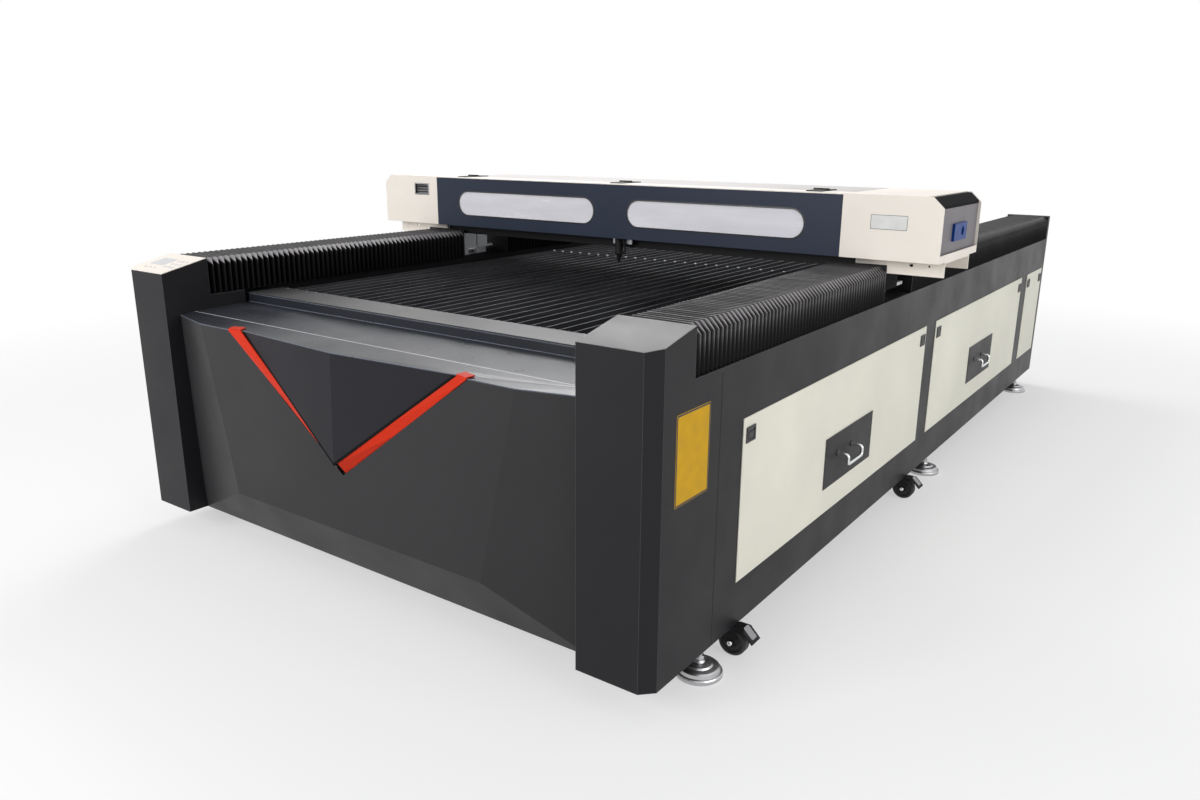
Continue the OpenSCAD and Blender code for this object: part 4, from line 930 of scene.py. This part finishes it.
# %% Four covers
COVERS = [(side, half, gantry_end) for side in ("right", "left")
          for half, gantry_end in (("front", 1), ("rear", -1))]
for side, half, gantry_end in COVERS:
    cover = pleated_cover(f"{side}_{half}_pleats", f"{side}_{half}_bellows")
    print(cover.name, len(cover.data.polygons), "faces")

# %% [markdown]
# ## Small pieces
#
# What is left is too small for the CAD model. Every small piece is either a turned profile,
# which is a list of radii and heights swept round an axis, or a sheet, which is an outline
# given a thickness and a bevel. Copies go in one mesh, so that a row of screws stays one piece.

# %% From a mesh to a piece
def keep_piece(name, work, paint, body, smooth=35):
    """Turns a finished bmesh into a piece that rides on a body."""
    bmesh.ops.recalc_face_normals(work, faces=work.faces)
    mesh = bpy.data.meshes.new(name)
    work.to_mesh(mesh)
    work.free()
    mesh.materials.append(paint)
    mesh.shade_smooth()
    mesh.set_sharp_from_angle(angle=math.radians(smooth))
    piece = bpy.data.objects.new(name, mesh)
    bpy.context.scene.collection.objects.link(piece)
    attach(piece, body)


print("a kept piece has a finish, a slot and a body")

# %% [markdown]
# ## Turned pieces
#
# Screws, bolts, washers and caps are made on a lathe. A Screw modifier could turn a profile too,
# but only round its own object, where a row of screws needs many axes. So a profile of radii
# and heights is turned here in the mesh, round any axis, and a radius of 0 closes it.

# %% Turned profiles
def turn(work, profile, place, axis=(0, 0, 1), sides=20):
    """Sweeps (radius, height) points round an axis through place."""
    spin = Vector(axis).normalized().to_track_quat("Z", "Y").to_matrix()
    rings = []
    for radius, height in profile:
        if radius == 0:
            rings.append([work.verts.new(Vector(place) + spin @ Vector((0, 0, height)))])
            continue
        ring = []
        for k in range(sides):
            a = 2 * math.pi * k / sides
            rim = Vector((radius * math.cos(a), radius * math.sin(a), height))
            ring.append(work.verts.new(Vector(place) + spin @ rim))
        rings.append(ring)
    for a, b in zip(rings, rings[1:]):
        for k in range(sides):
            j = (k + 1) % sides
            corners = [a[k % len(a)], a[j % len(a)], b[j % len(b)], b[k % len(b)]]
            work.faces.new(list(dict.fromkeys(corners)))


trial = bmesh.new()
turn(trial, [(0, 0.02), (0.01, 0.02), (0.01, 0)], (0, 0, 0))
print("a trial cap has", len(trial.faces), "faces")
trial.free()

# %% [markdown]
# ## Sheets
#
# Plates, films and seals are cut from flat stock. A scaled cube would be the quickest way, but
# its corners are square and its front edge is sharp. An outline with rounded corners, given a
# thickness and a slightly smaller front, looks cut and catches a thin line of light.

# %% Rounded outlines
def rounded(width, height, radius, steps=5):
    """Outline of a rectangle with rounded corners, about its middle."""
    points = []
    for cx, cy, start in ((1, 1, 0), (-1, 1, 90), (-1, -1, 180), (1, -1, 270)):
        for k in range(steps + 1):
            a = math.radians(start + 90 * k / steps)
            points.append((cx * (width / 2 - radius) + radius * math.cos(a),
                           cy * (height / 2 - radius) + radius * math.sin(a)))
    return points


print("a rounded outline has", len(rounded(0.2, 0.1, 0.01)), "points")

# %% Sheets
def sheet(work, points, place, across, up, thickness, soften=0.0002):
    """A plate from an outline in the plane of across and up, softened along its front edge."""
    across, up = Vector(across), Vector(up)
    out = across.cross(up)
    rings = []
    for lift, shrink in ((0, 0), (thickness - soften, 0), (thickness, soften)):
        ring = []
        for u, v in points:
            keep = 1 - shrink / (math.hypot(u, v) or 1)
            spot = Vector(place) + across * u * keep + up * v * keep + out * lift
            ring.append(work.verts.new(spot))
        rings.append(ring)
    for a, b in zip(rings, rings[1:]):
        for k in range(len(a)):
            j = (k + 1) % len(a)
            work.faces.new((a[k], a[j], b[j], b[k]))
    work.faces.new(rings[0][::-1])
    work.faces.new(rings[-1])


trial = bmesh.new()
sheet(trial, rounded(0.2, 0.1, 0.01), (0, 0, 0), (1, 0, 0), (0, 1, 0), 0.002)
print("a trial plate holds", round(trial.calc_volume() * 1e6, 2), "cubic centimetres")
trial.free()

# %% [markdown]
# ## End plates of the covers
#
# A pleated cover ends in a folded black plate that is screwed to the post, to the gantry or to
# the rear casing. At the gantry it stands a few millimetres above the pleats. Each is a sheet
# made from the box of its cover, so that it needs no sizes of its own.

# %% End plates
PLATE_LIFT = 0.004     # how far the gantry's plates stand above the pleats
for side, half, gantry_end in COVERS:
    low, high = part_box(f"{side}_{half}_bellows")
    for y, sense, body in ((low.y, 1, "machine" if gantry_end > 0 else "gantry"),
                           (high.y, -1, "gantry" if gantry_end > 0 else "machine")):
        lift = PLATE_LIFT if body == "gantry" else 0.0
        middle = ((low.x + high.x) / 2, y + sense * END_PLATE, (low.z + high.z + lift) / 2)
        edge = rounded(high.x - low.x, high.z + lift - low.z, 0.003)
        work = bmesh.new()
        sheet(work, edge, middle, (sense, 0, 0), (0, 0, 1), END_PLATE)
        keep_piece(f"{side}_{half}_end_plate_{body}", work, soot, body)

# %% [markdown]
# ## Screws and clips of the bed
#
# The edge bar is screwed down beside each blade, and a row of bright clips holds the blades.
# The screws are pan heads and the clips folded strips of a few millimetres. Their places come
# from the blades, so that they stay in line.

# %% Screws of the edge bars
PAN_HEAD = [(0, 0.0010), (0.0012, 0.0010), (0.0014, 0.0021),
            (0.0030, 0.0018), (0.0036, 0.0008), (0.0036, 0.0)]
HEAD_SCALE = 0.6       # small screws of the same form
BLADES, BLADE_T = 31, 0.003
FRONT_BAR = 0.410      # from the front of the posts to the front bar's inner edge
HEAD_INSET = 0.004     # from that edge to the screws
REAR_BAR = 0.119       # from the back of the bars to the rear row of screws
blade_low, blade_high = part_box("slat_blades")
blade_pitch = (blade_high.x - blade_low.x - BLADE_T) / (BLADES - 1)
blade_xs = [blade_low.x + BLADE_T / 2 + i * blade_pitch for i in range(BLADES)]
bar_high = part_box("bed_edge_bars")[1]
screw_rows = (post_front + FRONT_BAR - HEAD_INSET, bar_high.y - REAR_BAR)
head = [(HEAD_SCALE * r, HEAD_SCALE * h) for r, h in PAN_HEAD]
work = bmesh.new()
for x in blade_xs:
    for y in screw_rows:
        turn(work, head, (x, y, bar_high.z), sides=12)
keep_piece("edge_bar_screws", work, pedal_zinc, "machine")
print(len(blade_xs), "blades at", round(blade_pitch * 1000, 1), "mm")

# %% Clips on the blades
CLIP_ROW = 1.815       # from the front of the posts
CLIP_L, CLIP_W = 0.012, 0.0058
CLIP_LEG = 0.0012      # thickness of a leg
LEG_OUT = 0.0024       # from the middle of a blade to the middle of a leg
clip_y = post_front + CLIP_ROW
clip_top = rounded(CLIP_W, CLIP_L, 0.0008, 2)
clip_leg = rounded(CLIP_LEG, CLIP_L, 0.0004, 2)
flat = ((1, 0, 0), (0, 1, 0))
work = bmesh.new()
for x in blade_xs:
    for u in (-LEG_OUT, LEG_OUT):
        sheet(work, clip_leg, (x + u, clip_y, blade_high.z - 0.004), *flat, 0.0055)
    sheet(work, clip_top, (x, clip_y, blade_high.z + 0.0004), *flat, 0.0014)
keep_piece("blade_clips", work, clip_steel, "machine")
print("clips at y", round(clip_y, 4))

# %% [markdown]
# ## Blank plates
#
# Two blank plates are stuck to the casing: a tall yellow one on the right post and a small
# pale one on the right end of the gantry. Each has a thin dark rim, which is a ring between
# two outlines. A rim could be painted with a mask too, but a ring keeps its sharp edge.

# %% A flat ring
def ring_strip(work, inner, outer, place, across, up, thickness):
    """A flat ring between two outlines with the same number of points."""
    across, up = Vector(across), Vector(up)
    out = across.cross(up)
    loops = []
    for points, lift in ((outer, 0), (outer, thickness * 0.6), (inner, thickness), (inner, 0)):
        base = Vector(place) + out * lift
        loops.append([work.verts.new(base + across * u + up * v) for u, v in points])
    for a, b in zip(loops, loops[1:] + loops[:1]):
        for k in range(len(a)):
            j = (k + 1) % len(a)
            work.faces.new((a[k], a[j], b[j], b[k]))


trial = bmesh.new()
ring_strip(trial, rounded(0.1, 0.1, 0.01), rounded(0.12, 0.12, 0.01), (0, 0, 0),
           (1, 0, 0), (0, 1, 0), 0.001)
print("a trial ring has", len(trial.faces), "faces")
trial.free()

# %% A plate with its rim
UP = (0, 0, 1)
RIM_T = 0.0002         # how far a rim stands above its plate


def blank_plate(name, film, body, middle, across, thick, whole, inner, outer):
    """A plate and its dark rim; whole, inner and outer are (width, height, corner)."""
    work = bmesh.new()
    sheet(work, rounded(*whole), middle, across, UP, thick)
    keep_piece(f"{name}_blank_plate", work, film, body)
    face = Vector(middle) + Vector(across).cross(Vector(UP)) * thick
    work = bmesh.new()
    ring_strip(work, rounded(*inner), rounded(*outer), face, across, UP, RIM_T)
    keep_piece(f"{name}_plate_rim", work, black_plastic, body)


print("rims stand out by", RIM_T * 1000, "mm")

# %% Two plates
YELLOW_BACK = 0.150    # from the front of the post to the middle of the yellow plate
YELLOW_Z = 0.5935
PALE_X, PALE_Z = 0.977, 1.0045
right_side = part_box("right_front_post")[1].x
gantry_low, gantry_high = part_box("right_end_cap")
blank_plate("yellow", label_yellow, "machine",
            (right_side, post_front + YELLOW_BACK, YELLOW_Z), (0, 1, 0), 0.0006,
            (0.140, 0.203, 0.004), (0.130, 0.193, 0.001), (0.138, 0.201, 0.003))
blank_plate("pale", label_white, "gantry",
            (PALE_X, gantry_low.y, PALE_Z), (1, 0, 0), 0.0005,
            (0.108, 0.042, 0.002), (0.1050, 0.0390, 0.0012), (0.1075, 0.0415, 0.0018))
print("plates on x", round(right_side, 4), "and y", round(gantry_low.y, 4))

# %% [markdown]
# ## Seams and backing
#
# A thin black strip along the seam between each front post and the skin behind it is a painted
# shadow for the dark gap there, and a dark sheet stands behind the slot where the orange strips
# meet as painted shade, so that nothing shines through. Both are sheets, which are too thin for
# the CAD model and need no modifier.

# %% Seams behind the front posts
SEAM_W, SEAM_T = 0.0024, 0.0003
SEAM_SHORT = 0.012     # the strip ends before the skin does
SEAM_DROP = 0.004      # and sits a little low
post_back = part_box("right_front_post")[1].y
skirt_z, shoulder_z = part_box("right_side_skin")[0].z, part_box("right_side_skin")[1].z
seam_z = (skirt_z + shoulder_z) / 2 - SEAM_DROP
seam = rounded(SEAM_W, shoulder_z - skirt_z - SEAM_SHORT, 0.0008, 2)
work = bmesh.new()
for sense in (1, -1):
    middle = (sense * right_side, post_back, seam_z)
    sheet(work, seam, middle, (0, sense, 0), UP, SEAM_T, 0.0001)
# Painted shadow: black strips stand in for the dark gaps of the seams.
keep_piece("post_seam_shadows", work, shadow_black, "machine")
print("seams at y", round(post_back, 4), "from z", round(skirt_z, 3), "to", round(shoulder_z, 3))

# %% Backing where the two strips meet
BACKING_SETBACK = 0.0353   # behind the prow's ridge, just clear of the strips
BACKING_DROP = 0.0253      # its middle below the prow's tip
BACKING_W, BACKING_H, BACKING_T = 0.064, 0.0495, 0.0008
backing = (0, prow_low.y + BACKING_SETBACK, prow_low.z - BACKING_DROP)
work = bmesh.new()
sheet(work, rounded(BACKING_W, BACKING_H, 0.002), backing, (1, 0, 0), UP, BACKING_T)
# Painted shade: a black sheet fills the slot behind the tip of the strips.
keep_piece("strip_tip_shade", work, shadow_black, "machine")
print("backing behind the tip at y", round(backing[1], 4))

# %% [markdown]
# ## Gaskets and louvres
#
# The windows sit in thin rubber gaskets, and the vent in the gantry's left cap has a frame.
# Both are rings like the rims of the plates. The vent's four louvres are sheets that slope
# down and outwards.

# %% Window gaskets
WINDOW_X = 0.394       # from the middle plane to the middle of a window
WINDOW_W, WINDOW_H = 0.645, 0.087
GASKET_W, GASKET_T = 0.0045, 0.0012
window_low, window_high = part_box("gantry_windows")
window_z = (window_low.z + window_high.z) / 2
inner = rounded(WINDOW_W, WINDOW_H, WINDOW_H / 2, 10)
outer = rounded(WINDOW_W + 2 * GASKET_W, WINDOW_H + 2 * GASKET_W, WINDOW_H / 2 + GASKET_W, 10)
work = bmesh.new()
for x in (-WINDOW_X, WINDOW_X):
    ring_strip(work, inner, outer, (x, gantry_low.y, window_z), (1, 0, 0), UP, GASKET_T)
keep_piece("window_gaskets", work, black_plastic, "gantry")
print("gaskets round windows at z", round(window_z, 4))

# %% Louvres in the vent of the left cap
VENT_INSET, VENT_RISE = 0.2095, 0.1345     # from the cap's end and its underside
VENT_W, VENT_H, VENT_FRAME = 0.0710, 0.0370, 0.0045
LOUVRE_PITCH, LOUVRE_H, LOUVRE_T = 0.0098, 0.0085, 0.0008
LOUVRE_BACK = 0.0062   # from the face of the cap to the middle of a louvre
LOUVRE_DOWN = (0, -0.6, -0.8)              # outwards and down
vent_x, vent_z = VENT_INSET - gantry_high.x, gantry_low.z + VENT_RISE
frame_w, frame_h = VENT_W + 2 * VENT_FRAME, VENT_H + 2 * VENT_FRAME
work = bmesh.new()
ring_strip(work, rounded(VENT_W, VENT_H, 0.0008), rounded(frame_w, frame_h, 0.0016),
           (vent_x, gantry_low.y, vent_z), (1, 0, 0), UP, 0.0018)
louvre = rounded(frame_w, LOUVRE_H, 0.0004, 2)
for step in (-1.5, -0.5, 0.5, 1.5):
    middle = (vent_x, gantry_low.y + LOUVRE_BACK, vent_z + LOUVRE_PITCH * step)
    sheet(work, louvre, middle, (1, 0, 0), LOUVRE_DOWN, LOUVRE_T)
keep_piece("vent_louvres", work, pedal_zinc, "gantry")
print("four louvres in the vent at x", round(vent_x, 4), "z", round(vent_z, 4))

# %% [markdown]
# ## Hardware on drawers and casters
#
# The drawer handles stand on black washers. Each caster gets a domed cap on its axle and a
# grey tread on its brake pedal, and its plate is held by four hexagon bolts. A profile with
# six sides makes such a bolt.

# %% Handle washers
WASHER = [(0.0046, 0.0), (0.0095, 0.0), (0.0095, 0.0012), (0.0080, 0.0030), (0.0046, 0.0030)]
HANDLE_ROD_R = 0.0045  # the washers sit round the ends of the bent rod
for place in ("front", "rear"):
    low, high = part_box(f"{place}_drawer_handle")
    work = bmesh.new()
    for y in (low.y + HANDLE_ROD_R, high.y - HANDLE_ROD_R):
        turn(work, WASHER, (low.x, y, high.z - HANDLE_ROD_R), (1, 0, 0), 24)
    keep_piece(f"{place}_handle_washers", work, black_plastic, f"{place}_drawer")
print("washers of radius", WASHER[1][0] * 1000, "mm")

# %% Axle caps and pedal treads
AXLE_CAP = [(0, 0.0030), (0.0030, 0.0028), (0.0058, 0.0018), (0.0068, 0.0)]
FORK_HALF = 0.0240     # from the middle of a wheel to the outside of its fork
TREAD_L, TREAD_W, TREAD_T = 0.036, 0.024, 0.0018
TREAD_IN, TREAD_UP = 0.0190, 0.0334        # from the pedal's end and from the axle
PEDAL_OUT, PEDAL_DOWN = 27.0, 26.0         # the slope of the pedal
tread = rounded(TREAD_L, TREAD_W, 0.004)
for corner in CORNERS:
    low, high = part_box(f"{corner}_caster_fork")
    wheel_low, wheel_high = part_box(f"{corner}_caster_wheel")
    hub = (wheel_low + wheel_high) / 2
    work = bmesh.new()
    for end in (-1, 1):
        turn(work, AXLE_CAP, (hub.x, hub.y + end * FORK_HALF, hub.z), (0, end, 0), 20)
    keep_piece(f"{corner}_axle_caps", work, screw_steel, f"{corner}_caster")
    sense, pedal_end = (1, high.x) if corner.startswith("right") else (-1, low.x)
    slope = Vector((sense * PEDAL_OUT, 0, -PEDAL_DOWN)).normalized()
    top = (pedal_end - sense * TREAD_IN, hub.y, hub.z + TREAD_UP)
    work = bmesh.new()
    sheet(work, tread, top, slope, (0, sense, 0), TREAD_T)
    keep_piece(f"{corner}_pedal_tread", work, pedal_zinc, f"{corner}_caster")
print("casters dressed:", len(CORNERS))

# %% Bolts of the caster plates
BOLT = [(0, 0.0052), (0.0050, 0.0052), (0.0062, 0.0044), (0.0062, 0.0)]
BOLT_REACH = 0.030     # from the swivel axis, along both edges of the plate
PLATE_T = 0.004        # the bolts hang under the plate
bolt_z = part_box("caster_plates")[1].z - PLATE_T
joints = {joint["name"]: joint for joint in frame["joints"]}
work = bmesh.new()
for corner in CORNERS:
    x, y = joints[f"{corner}_swivel"]["pos_m"][:2]
    for dx in (-BOLT_REACH, BOLT_REACH):
        for dy in (-BOLT_REACH, BOLT_REACH):
            turn(work, BOLT, (x + dx, y + dy, bolt_z), (0, 0, -1), 6)
keep_piece("caster_plate_bolts", work, screw_steel, "machine", 20)
print("bolts:", 4 * len(CORNERS))

# %% [markdown]
# ## Inside the laser tube
#
# A sealed tube is glass within glass: a thin bore down the middle carries the discharge, and a
# metal electrode sits at each end. They show when the lid is open. Both are turned like the
# screws, and the bore's profile is the same at both ends, so that half of it is enough.

# %% Bore
BORE_GAP = 0.06        # from the tube's end to the bore's
tube_low, tube_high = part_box("laser_tube")
tube_y, tube_z = (tube_low.y + tube_high.y) / 2, (tube_low.z + tube_high.z) / 2
reach = (tube_high.x - tube_low.x) / 2 - BORE_GAP  # half the bore's length
half_bore = [(0.0, reach), (0.010, reach), (0.0115, reach - 0.03)]
bore = [(r, -x) for r, x in half_bore] + half_bore[::-1]
bore_glass = milky_acrylic("bore_glass")
work = bmesh.new()
turn(work, bore, (0, tube_y, tube_z), (1, 0, 0), 24)
keep_piece("tube_bore", work, bore_glass, "gantry")
print("bore of", round(2 * reach, 3), "m")

# %% Electrodes
ELECTRODE = [(0.013, 0.0), (0.027, 0.004), (0.029, 0.012),
             (0.029, 0.070), (0.027, 0.078), (0.013, 0.080)]
ELECTRODE_IN = 0.11    # from the bore's end
work = bmesh.new()
for end in (-1, 1):
    turn(work, ELECTRODE, (end * (reach - ELECTRODE_IN), tube_y, tube_z), (end, 0, 0), 28)
keep_piece("tube_electrodes", work, brass, "gantry")
print("electrodes at x", round(reach - ELECTRODE_IN, 3), "m on both sides")

# %% [markdown]
# ## Size of the dressed machine
#
# The box round everything that is shown is printed. The dressed machine must be as
# large as the CAD model.

# %% Size of the dressed machine
low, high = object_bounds()
print("visual box:", tuple(low), tuple(high))
